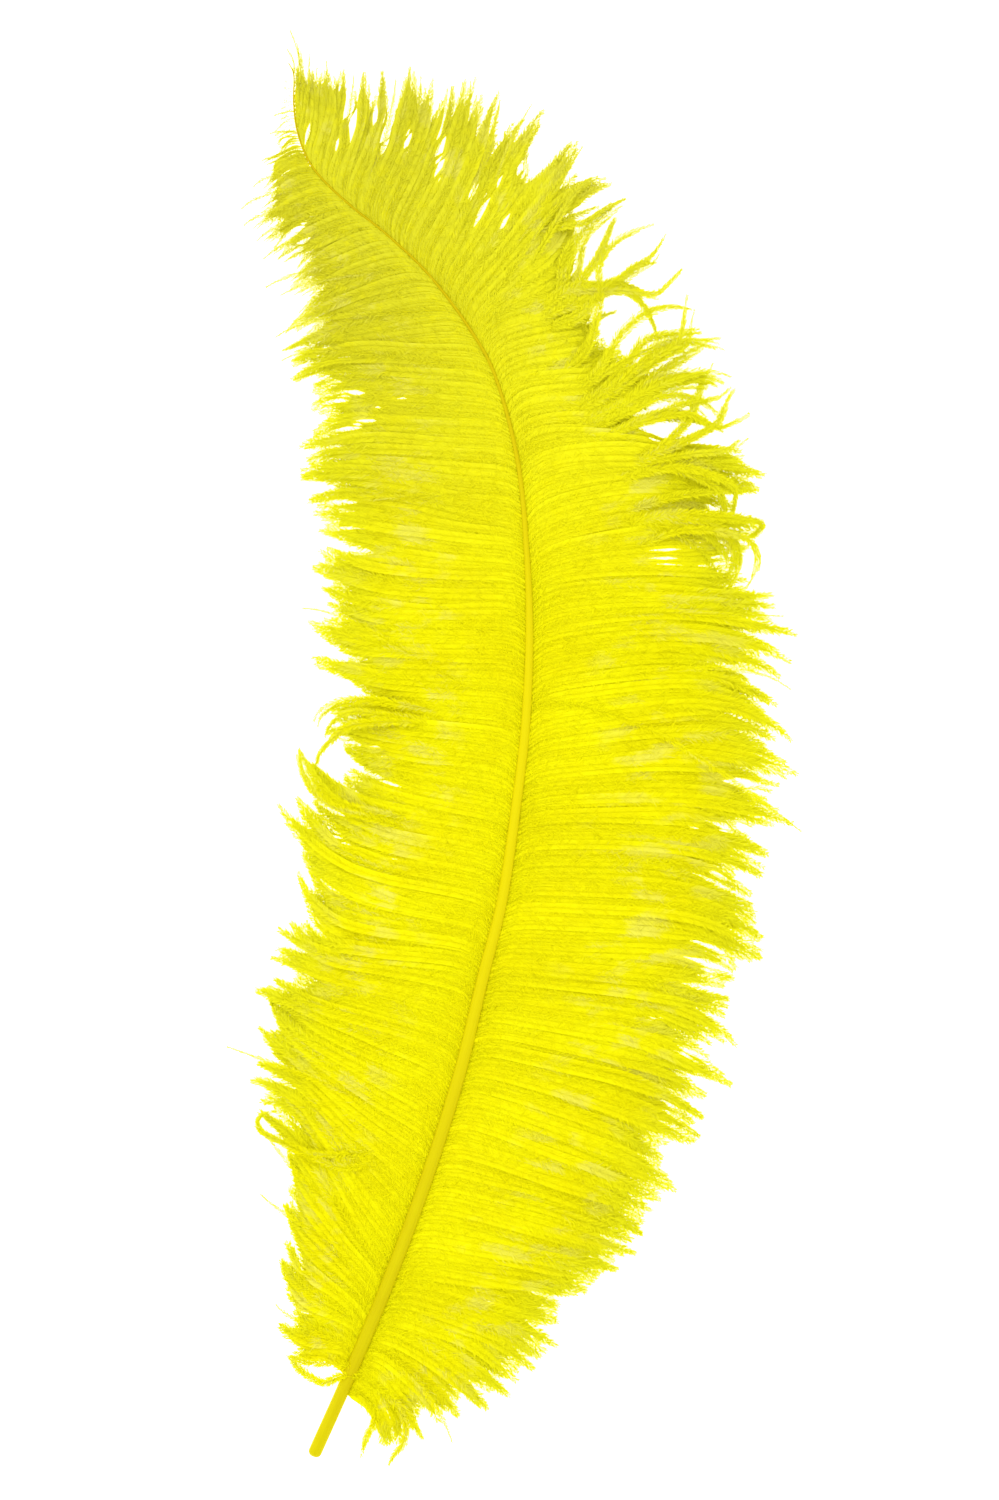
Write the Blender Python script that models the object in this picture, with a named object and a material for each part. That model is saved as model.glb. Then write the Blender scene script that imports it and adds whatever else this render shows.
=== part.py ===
"""A yellow ostrich plume that lies on a flat surface, with its shaft along +Y and its upper face up."""

import math

import bpy

MM = 0.001

# The shaft's middle line from the cut end of the quill to its tip: x, y, z and half width, in mm
SHAFT_LINE = (
    (-56.6, -198.9, 1.9, 1.9),
    (-49.0, -182.0, 2.4, 1.9),
    (-44.2, -170.8, 2.9, 1.9),
    (-37.2, -154.0, 4.0, 1.88),
    (-28.6, -131.6, 5.8, 1.85),
    (-20.9, -109.2, 7.6, 1.8),
    (-14.6, -88.0, 9.2, 1.75),
    (-8.6, -63.0, 10.8, 1.65),
    (-3.4, -42.0, 11.8, 1.5),
    (0.3, -17.4, 12.6, 1.4),
    (3.1, 6.4, 13.0, 1.3),
    (4.2, 30.8, 13.0, 1.1),
    (3.6, 53.2, 12.6, 0.85),
    (1.1, 79.8, 11.6, 0.68),
    (-5.0, 103.6, 10.2, 0.54),
    (-12.3, 117.6, 9.2, 0.46),
    (-24.1, 133.3, 7.8, 0.38),
    (-36.1, 144.8, 6.6, 0.33),
    (-45.4, 152.3, 5.8, 0.3),
    (-53.2, 159.6, 5.0, 0.28),
    (-58.0, 166.0, 4.4, 0.26),
    (-61.0, 174.2, 3.7, 0.23),
    (-62.0, 182.0, 3.0, 0.2),
    (-62.0, 190.0, 2.3, 0.16),
    (-63.6, 193.6, 1.9, 0.12),
)
LINE_STEPS = 12
END_ROUNDING = ((0.0, 0.62), (0.5, 0.88), (1.3, 1.0))
END_BULGE = 0.25
RING_GAP = 5.0
RING_CLEARANCE = 3.0
ATTACH_ANGLE = 28.0
MIDDLE_ANGLE = 59.0

# Where the columns of points lie along each lock, as shares of its length
COLUMNS = (0.0, 0.06, 0.17, 0.3, 0.44, 0.58, 0.7, 0.81, 0.91, 1.0)

# Angle in degrees at which the barbs leave the shaft, at distances in mm along it
LEFT_LEAVE = ((20, 72), (100, 76), (200, 82), (300, 86), (340, 76), (380, 74), (425, 84))
RIGHT_LEAVE = ((20, 112), (34, 102), (80, 88), (200, 78), (300, 74), (375, 78), (400, 56), (425, 34))

# Locks of the left vane from the quill to the tip. Each has the distance of its root along the
# shaft, the x and y of its point, the way that its point faces in degrees and the column at
# which it parts from the next lock
LEFT_LOCKS = (
    (26, -63.3, -170.8, 140, 5),
    (34, -67.2, -156.0, 130, 6),
    (42, -65.0, -144.5, 122, 7),
    (50, -71.4, -125.2, 133, 6),
    (58, -63.0, -124.6, 110, 7),
    (68, -74.5, -106.4, 158, 7),
    (77, -70.8, -100.2, 200, 7),
    (86, -74.2, -93.0, 172, 7),
    (94, -81.0, -83.8, 142, 7),
    (103, -70.8, -79.0, 135, 7),
    (122, -68.3, -58.0, 158, 7),
    (131, -66.1, -50.1, 142, 7),
    (142, -60.4, -36.4, 108, 7),
    (153, -66.1, -16.2, 132, 7),
    (165, -61.6, -12.4, 112, 6),
    (175, -61.0, 1.1, 112, 6),
    (185, -55.2, -2.4, 225, 6),
    (195, -55.4, 5.4, 222, 6),
    (206, -56.6, 26.6, 165, 7),
    (215, -57.4, 35.8, 170, 7),
    (226, -52.4, 46.5, 155, 7),
    (235, -56.8, 51.8, 168, 7),
    (244, -54.0, 61.9, 168, 7),
    (253, -57.7, 70.8, 176, 7),
    (262, -60.2, 77.8, 184, 7),
    (271, -60.2, 86.0, 176, 7),
    (282, -56.6, 95.8, 196, 7),
    (294, -64.6, 106.4, 198, 7),
    (317, -65.8, 128.0, 212, 7),
    (329, -70.0, 130.5, 212, 7),
    (340, -70.6, 138.3, 202, 7),
    (351, -72.5, 143.4, 192, 7),
    (362, -76.2, 147.8, 182, 7),
    (372, -77.0, 152.6, 172, 6),
    (382, -73.6, 158.5, 198, 6),
    (392, -71.1, 165.8, 200, 6),
    (403, -68.2, 175.0, 188, 6),
)

# Locks of the right vane, as for the left one
RIGHT_LOCKS = (
    (21, -42.8, -200.5, 262, 6),
    (24, -36.1, -203.0, 238, 6),
    (28, -24.6, -196.3, 295, 7),
    (32, -17.4, -195.4, 284, 7),
    (38, -8.4, -185.1, 305, 7),
    (51, 7.6, -171.3, 308, 7),
    (58, 12.9, -162.1, 328, 7),
    (66, 20.4, -152.0, 335, 7),
    (74, 30.0, -151.2, 335, 7),
    (83, 34.4, -141.1, 348, 7),
    (92, 37.0, -129.6, 332, 7),
    (101, 44.2, -122.6, 344, 7),
    (110, 52.1, -113.4, 326, 7),
    (127, 61.6, -94.1, 334, 7),
    (136, 64.4, -84.8, 314, 6),
    (146, 60.8, -68.0, 318, 7),
    (157, 70.8, -59.6, 330, 7),
    (168, 66.9, -43.7, 348, 7),
    (179, 73.1, -36.1, 332, 7),
    (190, 81.0, -23.0, 330, 7),
    (201, 79.5, -7.8, 326, 7),
    (211, 77.8, 2.8, 314, 7),
    (221, 73.4, 19.0, 318, 6),
    (240, 78.1, 32.8, 334, 7),
    (249, 72.0, 42.0, 2, 7),
    (260, 69.2, 63.3, 345, 7),
    (271, 68.9, 74.4, 347, 7),
    (282, 66.1, 91.2, 38, 7),
    (293, 61.9, 101.9, 24, 7),
    (302, 62.7, 110.6, 352, 6),
    (311, 49.4, 127.4, 60, 5),
    (320, 48.7, 136.6, 55, 5),
    (329, 43.4, 145.6, 58, 5),
    (339, 33.9, 156.2, 42, 6),
    (349, 18.2, 169.1, 56, 6),
    (359, 9.2, 181.2, 52, 6),
    (368, -2.8, 186.2, 70, 6),
    (377, -13.7, 191.5, 80, 6),
    (386, -24.6, 190.0, 84, 6),
    (395, -35.8, 189.8, 84, 6),
    (404, -48.2, 192.0, 88, 6),
    (414, -63.3, 203.0, 108, 5),
)
EDGE_MARGIN = 1.6
EDGE_WIDTH = 0.8
START_PULL = 0.34
END_PULL = 0.26
LOFT = 2.2
FULL_LOFT_REACH = 40.0
FALL_POWER = 2.2
HALF_THICK = 1.25
FULL_THICK_REACH = 45.0
ROOT_THICK_SHARE = 0.75
POINT_POWER = 0.45
VALLEY = 0.55
TIP_LIFTS = (0.0, 0.9, 0.3, 1.4, 0.0, 0.6)
SHARP_ANGLE = 50.0

SHAFT_COLOUR = (0.86, 0.68, 0.01, 1.0)
SHAFT_ROUGHNESS = 0.4
VANE_COLOUR = (0.87, 0.83, 0.01, 1.0)
VANE_ROUGHNESS = 0.85

# Which lines of points along the shaft the vanes grow from
LEFT_UPPER = 2
LEFT_LOWER = 3
RIGHT_LOWER = 7
RIGHT_UPPER = 8


def clear_scene():
    """Empties the scene."""
    for thing in list(bpy.data.objects):
        bpy.data.objects.remove(thing, do_unlink=True)


def plain_material(name, colour, roughness):
    """A plain material of one colour."""
    material = bpy.data.materials.new(name)
    material.use_nodes = True
    shader = material.node_tree.nodes["Principled BSDF"]
    shader.inputs["Base Color"].default_value = colour
    shader.inputs["Roughness"].default_value = roughness
    return material


def shaft_material():
    """Smooth dyed horn of the shaft."""
    return plain_material("shaft", SHAFT_COLOUR, SHAFT_ROUGHNESS)


def vane_material():
    """Soft dyed barbs of the two vanes."""
    return plain_material("vane", VANE_COLOUR, VANE_ROUGHNESS)


def between(table, place):
    """The value at a place in a table of places and values, straight between its rows."""
    if place <= table[0][0]:
        return table[0][1]
    for (start, low), (end, high) in zip(table, table[1:]):
        if place <= end:
            return low + (high - low) * (place - start) / (end - start)
    return table[-1][1]


def curve_value(before, start, end, after, share):
    """A smooth value between two neighbours in a row of four."""
    first = end - before
    second = 2 * before - 5 * start + 4 * end - after
    third = 3 * start - before - 3 * end + after
    return start + 0.5 * share * (first + share * (second + share * third))


def fine_shaft():
    """The shaft's line in short steps, each with its distance from the quill's end."""
    rows = []
    last = len(SHAFT_LINE) - 1
    for index in range(last):
        near = [SHAFT_LINE[min(max(index + step, 0), last)] for step in (-1, 0, 1, 2)]
        for step in range(LINE_STEPS):
            share = step / LINE_STEPS
            rows.append([curve_value(*values, share) for values in zip(*near)])
    rows.append(list(SHAFT_LINE[-1]))
    distance = 0.0
    line = [(0.0, *rows[0])]
    for old, new in zip(rows, rows[1:]):
        distance += math.hypot(new[0] - old[0], new[1] - old[1])
        line.append((distance, *new))
    return line


def shaft_at(line, place):
    """The shaft's x, y, z, half width and heading at a distance along it."""
    index = 0
    while index < len(line) - 2 and line[index + 1][0] < place:
        index += 1
    start, end = line[index], line[index + 1]
    share = min(max((place - start[0]) / (end[0] - start[0]), 0.0), 1.0)
    x, y, z, half = [low + (high - low) * share for low, high in zip(start[1:], end[1:])]
    heading = math.atan2(end[2] - start[2], end[1] - start[1])
    return x, y, z, half, heading


def on_shaft(line, place, angle):
    """A point of the shaft's surface: an angle of 0 is its left side and 90 its top."""
    x, y, z, half, heading = shaft_at(line, place)
    half *= between(END_ROUNDING, place)
    side = half * math.cos(math.radians(angle))
    rise = half * math.sin(math.radians(angle))
    return x - side * math.sin(heading), y + side * math.cos(heading), z + rise


class Mesh:
    """Points and faces of the feather while it is built."""

    def __init__(self):
        self.points = []
        self.faces = []
        self.kinds = []

    def point(self, place):
        """Adds a point in mm and returns its number."""
        self.points.append(tuple(MM * value for value in place))
        return len(self.points) - 1

    def face(self, corners, kind, flip=False):
        """Adds a face, without the corners that are one and the same point."""
        kept = []
        for corner in corners:
            if corner not in kept:
                kept.append(corner)
        if len(kept) > 2:
            self.faces.append(tuple(reversed(kept)) if flip else tuple(kept))
            self.kinds.append(kind)


def strip(mesh, upper, lower):
    """Joins two lines of points that run along the shaft. Each point has its distance."""
    a, b = 0, 0
    while a < len(upper) - 1 or b < len(lower) - 1:
        at_end = b == len(lower) - 1
        if at_end or (a < len(upper) - 1 and upper[a + 1][0] <= lower[b + 1][0]):
            mesh.face((upper[a][1], upper[a + 1][1], lower[b][1]), 0)
            a += 1
        else:
            mesh.face((upper[a][1], lower[b + 1][1], lower[b][1]), 0)
            b += 1


def lock_curve(line, lock, leave, side, lift):
    """Points along the middle of one lock, one for each column."""
    root, tip_x, tip_y, facing, _ = lock
    heading = shaft_at(line, root)[4]
    x, y, z = on_shaft(line, root, 90 - 90 * side)
    start = heading + side * math.radians(between(leave, root))
    reach = math.hypot(tip_x - x, tip_y - y)
    facing = math.radians(facing)
    first = (x + START_PULL * reach * math.cos(start), y + START_PULL * reach * math.sin(start))
    second = (
        tip_x - END_PULL * reach * math.cos(facing),
        tip_y - END_PULL * reach * math.sin(facing),
    )
    points = []
    for share in COLUMNS:
        rest = 1.0 - share
        weights = (rest**3, 3 * rest * rest * share, 3 * rest * share * share, share**3)
        flat = [
            sum(weight * value for weight, value in zip(weights, row))
            for row in ((x, first[0], second[0], tip_x), (y, first[1], second[1], tip_y))
        ]
        loft = LOFT * min(1.0, reach / FULL_LOFT_REACH) * 4 * share * rest
        height = lift * share + z * (1.0 - share**FALL_POWER) + loft
        points.append((flat[0], flat[1], height))
    return points


def half_thickness(share, reach):
    """Half of a lock's thickness at a share of its length."""
    full = HALF_THICK * min(1.0, reach / FULL_THICK_REACH)
    swell = ROOT_THICK_SHARE + (1.0 - ROOT_THICK_SHARE) * math.sin(math.pi * share)
    return full * swell * (1.0 - share) ** POINT_POWER


def thick_pair(mesh, place, half):
    """A point above and a point below the middle of a lock."""
    x, y, z = place
    return mesh.point((x, y, z + half)), mesh.point((x, y, z - half))


def free_edge(mesh, curve, parts, offset):
    """Single points along a lock's open side, from the column where it parts to its point."""
    points = []
    for column in range(parts + 1, len(COLUMNS) - 1):
        share = (1.0 - COLUMNS[column]) / (1.0 - COLUMNS[parts])
        x, y, z = curve[column]
        points.append(mesh.point((x + offset[0] * share, y + offset[1] * share, z)))
    return points


def shared_row(mesh, root, below, above, reach, parts):
    """Pairs of points between two locks, from the shaft to the column where they part."""
    row = [root]
    for column in range(1, parts + 1):
        place = [(low + high) / 2 for low, high in zip(below[column], above[column])]
        half = VALLEY * half_thickness(COLUMNS[column], reach)
        row.append(thick_pair(mesh, place, half))
    return row


def half_lock(mesh, low, high, flip):
    """Faces above and below between two rows of pairs."""
    for column in range(len(COLUMNS) - 1):
        above = (low[column][0], high[column][0], high[column + 1][0], low[column + 1][0])
        below = (low[column][1], high[column][1], high[column + 1][1], low[column + 1][1])
        mesh.face(above, 1, flip)
        mesh.face(below, 1, not flip)


def lock_curves(mesh, line, locks, leave, side):
    """The middle line, the reach and the point of each lock."""
    curves = []
    for number, lock in enumerate(locks):
        lift = TIP_LIFTS[number % len(TIP_LIFTS)]
        curves.append(lock_curve(line, lock, leave, side, lift))
    reaches = [math.dist(curve[0][:2], curve[-1][:2]) for curve in curves]
    tips = [mesh.point(curve[-1]) for curve in curves]
    return curves, reaches, tips


def facing_sides(mesh, curves, tips, row, parts, flip):
    """The sides of two neighbouring locks that face each other, and the crotch between them."""
    middle = [(low + high) / 2 for low, high in zip(curves[0][parts], curves[1][parts])]
    sides = []
    for curve, tip in zip(curves, tips):
        offset = (middle[0] - curve[parts][0], middle[1] - curve[parts][1])
        edge = free_edge(mesh, curve, parts, offset)
        sides.append(row + [(point, point) for point in edge] + [(tip, tip)])
    top, bottom = row[parts]
    mesh.face((sides[0][parts + 1][0], top, bottom), 1, flip)
    mesh.face((top, sides[1][parts + 1][0], bottom), 1, flip)
    return sides


def open_side(mesh, curve, tip, root, side, way):
    """The open side of a vane's first lock, with way -1, or of its last, with way 1."""
    heading = math.atan2(curve[3][1] - curve[0][1], curve[3][0] - curve[0][0])
    across = heading - side * way * math.pi / 2
    offset = (EDGE_WIDTH * math.cos(across), EDGE_WIDTH * math.sin(across))
    edge = free_edge(mesh, curve, 0, offset)
    corners = (root[1], root[0], edge[0]) if way < 0 else (root[0], root[1], edge[0])
    mesh.face(corners, 1, side < 0)
    return [root] + [(point, point) for point in edge] + [(tip, tip)]


def vane(mesh, line, locks, leave, side, roots):
    """All the locks of one side, fused near the shaft and apart at their ends."""
    flip = side < 0
    curves, reaches, tips = lock_curves(mesh, line, locks, leave, side)
    last = len(locks) - 1
    lower_rows = [None] * len(locks)
    upper_rows = [None] * len(locks)
    for number in range(last):
        parts = locks[number][4]
        two = slice(number, number + 2)
        row = shared_row(mesh, roots[2 * number + 2], *curves[two], min(reaches[two]), parts)
        sides = facing_sides(mesh, curves[two], tips[two], row, parts, flip)
        upper_rows[number], lower_rows[number + 1] = sides
    lower_rows[0] = open_side(mesh, curves[0], tips[0], roots[0], side, -1)
    upper_rows[last] = open_side(mesh, curves[last], tips[last], roots[-1], side, 1)
    for number, curve in enumerate(curves):
        middle = [roots[2 * number + 1]]
        for column in range(1, len(COLUMNS) - 1):
            half = half_thickness(COLUMNS[column], reaches[number])
            middle.append(thick_pair(mesh, curve[column], half))
        middle.append((tips[number], tips[number]))
        half_lock(mesh, lower_rows[number], middle, flip)
        half_lock(mesh, middle, upper_rows[number], flip)


def root_places(locks):
    """Distances along the shaft of each lock's middle and of the lines between locks."""
    places = [locks[0][0] - EDGE_MARGIN]
    for lock, following in zip(locks, locks[1:]):
        places.append(lock[0])
        places.append((lock[0] + following[0]) / 2)
    places.append(locks[-1][0])
    places.append(locks[-1][0] + EDGE_MARGIN)
    return places


def bare_places(length, rooted=()):
    """Distances of the shaft's rings, with the places of the roots in their stead where given."""
    places = [place for place, _ in END_ROUNDING]
    count = int(length / RING_GAP)
    rings = [length * number / count for number in range(1, count)]
    if rooted:
        low, high = rooted[0] - RING_CLEARANCE, rooted[-1] + RING_CLEARANCE
        rings = [ring for ring in rings if not low < ring < high]
    return sorted(places + rings + list(rooted))


def shaft_line(mesh, line, places, angle, tip):
    """Points that run along the shaft at one angle, each with its distance, and then its tip."""
    row = [(place, mesh.point(on_shaft(line, place, angle))) for place in places]
    return row + [(line[-1][0], tip)]


def bare_side(mesh, upper, lower, rooted):
    """The shaft's own side below the first lock and past the last one."""
    for first, last in ((0.0, rooted[0]), (rooted[-1], math.inf)):
        upper_part = [pair for pair in upper if first <= pair[0] <= last]
        lower_part = [pair for pair in lower if first <= pair[0] <= last]
        strip(mesh, upper_part, lower_part)


def shaft_lines(mesh, line, tip, left_places, right_places):
    """The lines of points that run along the shaft, round from its top over the left side."""
    plain = bare_places(line[-1][0])
    left = bare_places(line[-1][0], left_places)
    right = bare_places(line[-1][0], right_places)
    rows = []
    for places, angle in (
        (plain, 90),
        (plain, MIDDLE_ANGLE),
        (left, ATTACH_ANGLE),
        (left, -ATTACH_ANGLE),
        (plain, -MIDDLE_ANGLE),
        (plain, -90),
        (plain, 180 + MIDDLE_ANGLE),
        (right, 180 + ATTACH_ANGLE),
        (right, 180 - ATTACH_ANGLE),
        (plain, 180 - MIDDLE_ANGLE),
    ):
        rows.append(shaft_line(mesh, line, places, angle, tip))
    return rows


def shaft(mesh, line, rows, left_places, right_places):
    """The shaft's own faces, open where the locks grow from it, and the quill's bulged end."""
    for number, row in enumerate(rows):
        following = rows[(number + 1) % len(rows)]
        if number == LEFT_UPPER:
            bare_side(mesh, row, following, left_places)
        elif number == RIGHT_LOWER:
            bare_side(mesh, row, following, right_places)
        else:
            strip(mesh, row, following)
    x, y, z, _, heading = shaft_at(line, 0.0)
    end = mesh.point((x - END_BULGE * math.cos(heading), y - END_BULGE * math.sin(heading), z))
    for row, following in zip(rows, rows[1:] + rows[:1]):
        mesh.face((end, row[0][1], following[0][1]), 0)


def root_pairs(upper, lower, places):
    """The pairs of points on the shaft that the locks of one vane grow from."""
    return [(top[1], bottom[1]) for top, bottom in zip(upper, lower) if top[0] in places]


def feather():
    """The whole feather as one closed mesh."""
    mesh = Mesh()
    line = fine_shaft()
    tip = mesh.point(line[-1][1:4])
    left_places = root_places(LEFT_LOCKS)
    right_places = root_places(RIGHT_LOCKS)
    rows = shaft_lines(mesh, line, tip, left_places, right_places)
    shaft(mesh, line, rows, left_places, right_places)
    left_roots = root_pairs(rows[LEFT_UPPER], rows[LEFT_LOWER], left_places)
    right_roots = root_pairs(rows[RIGHT_UPPER], rows[RIGHT_LOWER], right_places)
    vane(mesh, line, LEFT_LOCKS, LEFT_LEAVE, 1, left_roots)
    vane(mesh, line, RIGHT_LOCKS, RIGHT_LEAVE, -1, right_roots)
    return mesh


def make_feather():
    """The feather's object, with one material for its shaft and one for its vanes."""
    mesh = feather()
    data = bpy.data.meshes.new("feather")
    data.from_pydata(mesh.points, [], mesh.faces)
    data.materials.append(shaft_material())
    data.materials.append(vane_material())
    for face, kind in zip(data.polygons, mesh.kinds):
        face.material_index = kind
    data.shade_smooth()
    data.set_sharp_from_angle(angle=math.radians(SHARP_ANGLE))
    thing = bpy.data.objects.new("feather", data)
    bpy.context.collection.objects.link(thing)
    return thing


clear_scene()
make_feather()
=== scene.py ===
"""Looks of a dyed yellow ostrich plume: its shaft, its two vanes of soft barbs, and the studio round it."""

from __future__ import annotations

import logging
import math
from dataclasses import dataclass, field
from enum import Enum

import bpy
import numpy as np
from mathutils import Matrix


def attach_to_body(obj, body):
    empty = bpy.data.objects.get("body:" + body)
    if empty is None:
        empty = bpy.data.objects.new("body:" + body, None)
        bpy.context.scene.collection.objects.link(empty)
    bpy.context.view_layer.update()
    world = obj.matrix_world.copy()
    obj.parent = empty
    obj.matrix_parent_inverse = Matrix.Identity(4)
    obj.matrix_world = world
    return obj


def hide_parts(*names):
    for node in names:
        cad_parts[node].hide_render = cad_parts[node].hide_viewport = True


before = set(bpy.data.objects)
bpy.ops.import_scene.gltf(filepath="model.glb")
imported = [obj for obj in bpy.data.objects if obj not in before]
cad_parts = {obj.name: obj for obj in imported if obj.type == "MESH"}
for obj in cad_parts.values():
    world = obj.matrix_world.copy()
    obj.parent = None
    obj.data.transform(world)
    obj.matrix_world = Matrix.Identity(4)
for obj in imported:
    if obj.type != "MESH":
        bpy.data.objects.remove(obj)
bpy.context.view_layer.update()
LOG = logging.getLogger("plume")

MM = 0.001
BODY = "root"
NODE = "feather"
TINY = 1e-9
WHITE = (1.0, 1.0, 1.0, 1.0)
MIDDLE_GREY = (0.5, 0.5, 0.5, 1.0)

# The flat map: its name, its edge and the length that it uses, and where the felt, the stem and the
# four corners of a barbule lie in a strand's row
MAP_NAME = "OFBake"
MAP_EDGE = 0.01
MAP_SPAN = 0.97
FELT_ACROSS = 0.45
STEM_ACROSS = (-0.2, 0.0, 0.2)
BARBULE_ACROSS = (0.0, 0.22, 0.45, 0.22)
BARBULE_ALONG = (0.0, 0.014, 0.01, -0.004)

# Where a barb's three-sided stem has its corners, in degrees
STEM_CORNERS = (330.0, 90.0, 210.0)

# In mm: the lowest point of a barb, how far the felt hangs below its stem, and the narrowest felt and
# the shortest barbules that are made
LEAST_HEIGHT = 0.12
FELT_DROP = 0.2
LEAST_FELT = 0.06
LEAST_FUR = 0.15

# How open a thin place is beside a parting, and how far in mm both fade out sideways
THIN_SHARE = 0.75
FADE_WIDTH = 0.5

# The shaft's middle line from the cut end of the quill to its tip: x, y, z and half width, in mm
SHAFT_POINTS = (
    (-56.6, -198.9, 1.9, 1.9), (-49.0, -182.0, 2.4, 1.9), (-44.2, -170.8, 2.9, 1.9),
    (-37.2, -154.0, 4.0, 1.88), (-28.6, -131.6, 5.8, 1.85), (-20.9, -109.2, 7.6, 1.8),
    (-14.6, -88.0, 9.2, 1.75), (-8.6, -63.0, 10.8, 1.65), (-3.4, -42.0, 11.8, 1.5),
    (0.3, -17.4, 12.6, 1.4), (3.1, 6.4, 13.0, 1.3), (4.2, 30.8, 13.0, 1.1),
    (3.6, 53.2, 12.6, 0.82), (1.1, 79.8, 11.6, 0.62), (-5.0, 103.6, 10.3, 0.48),
    (-12.3, 117.6, 9.4, 0.42), (-24.1, 133.3, 8.1, 0.37), (-36.1, 144.8, 7.0, 0.34),
    (-45.4, 152.3, 6.2, 0.32), (-53.2, 159.6, 5.4, 0.3), (-58.0, 166.0, 4.8, 0.29),
    (-61.0, 174.2, 4.1, 0.27), (-62.0, 182.0, 3.4, 0.24), (-62.0, 190.0, 2.7, 0.2),
    (-63.6, 193.6, 2.3, 0.14),
)

# Angle in degrees at which the barbs leave the shaft, at distances in mm along it
LEFT_LEAVE = (
    (20, 62), (40, 60), (80, 74), (120, 78), (150, 84), (210, 84), (250, 90), (280, 86),
    (310, 74), (330, 66), (350, 60), (370, 58), (390, 66), (405, 85), (425, 84),
)
RIGHT_LEAVE = (
    (20, 110), (34, 84), (50, 76), (70, 78), (100, 87), (140, 86), (160, 81), (180, 77),
    (230, 76), (250, 72), (265, 64), (280, 66), (300, 74), (340, 77), (375, 76), (390, 68),
    (400, 48), (425, 30),
)

# How full the barbs are, and how fine their ends, at distances in mm along the shaft
LEFT_FULLNESS = (
    (0, 1.0), (300, 1.0), (350, 0.95), (380, 0.9), (390, 0.6), (400, 0.35), (415, 0.2), (427, 0.12),
)
RIGHT_FULLNESS = (
    (0, 1.05), (250, 1.05), (330, 0.9), (375, 0.75), (400, 0.5), (415, 0.3), (425, 0.2),
)
LEFT_FINE_ENDS = ((0, 0.0), (300, 0.0), (335, 0.7), (360, 1.0), (427, 1.0))
RIGHT_FINE_ENDS = ((0, 0.0), (330, 0.0), (350, 0.25), (395, 0.3), (412, 0.9), (425, 1.0))

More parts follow.
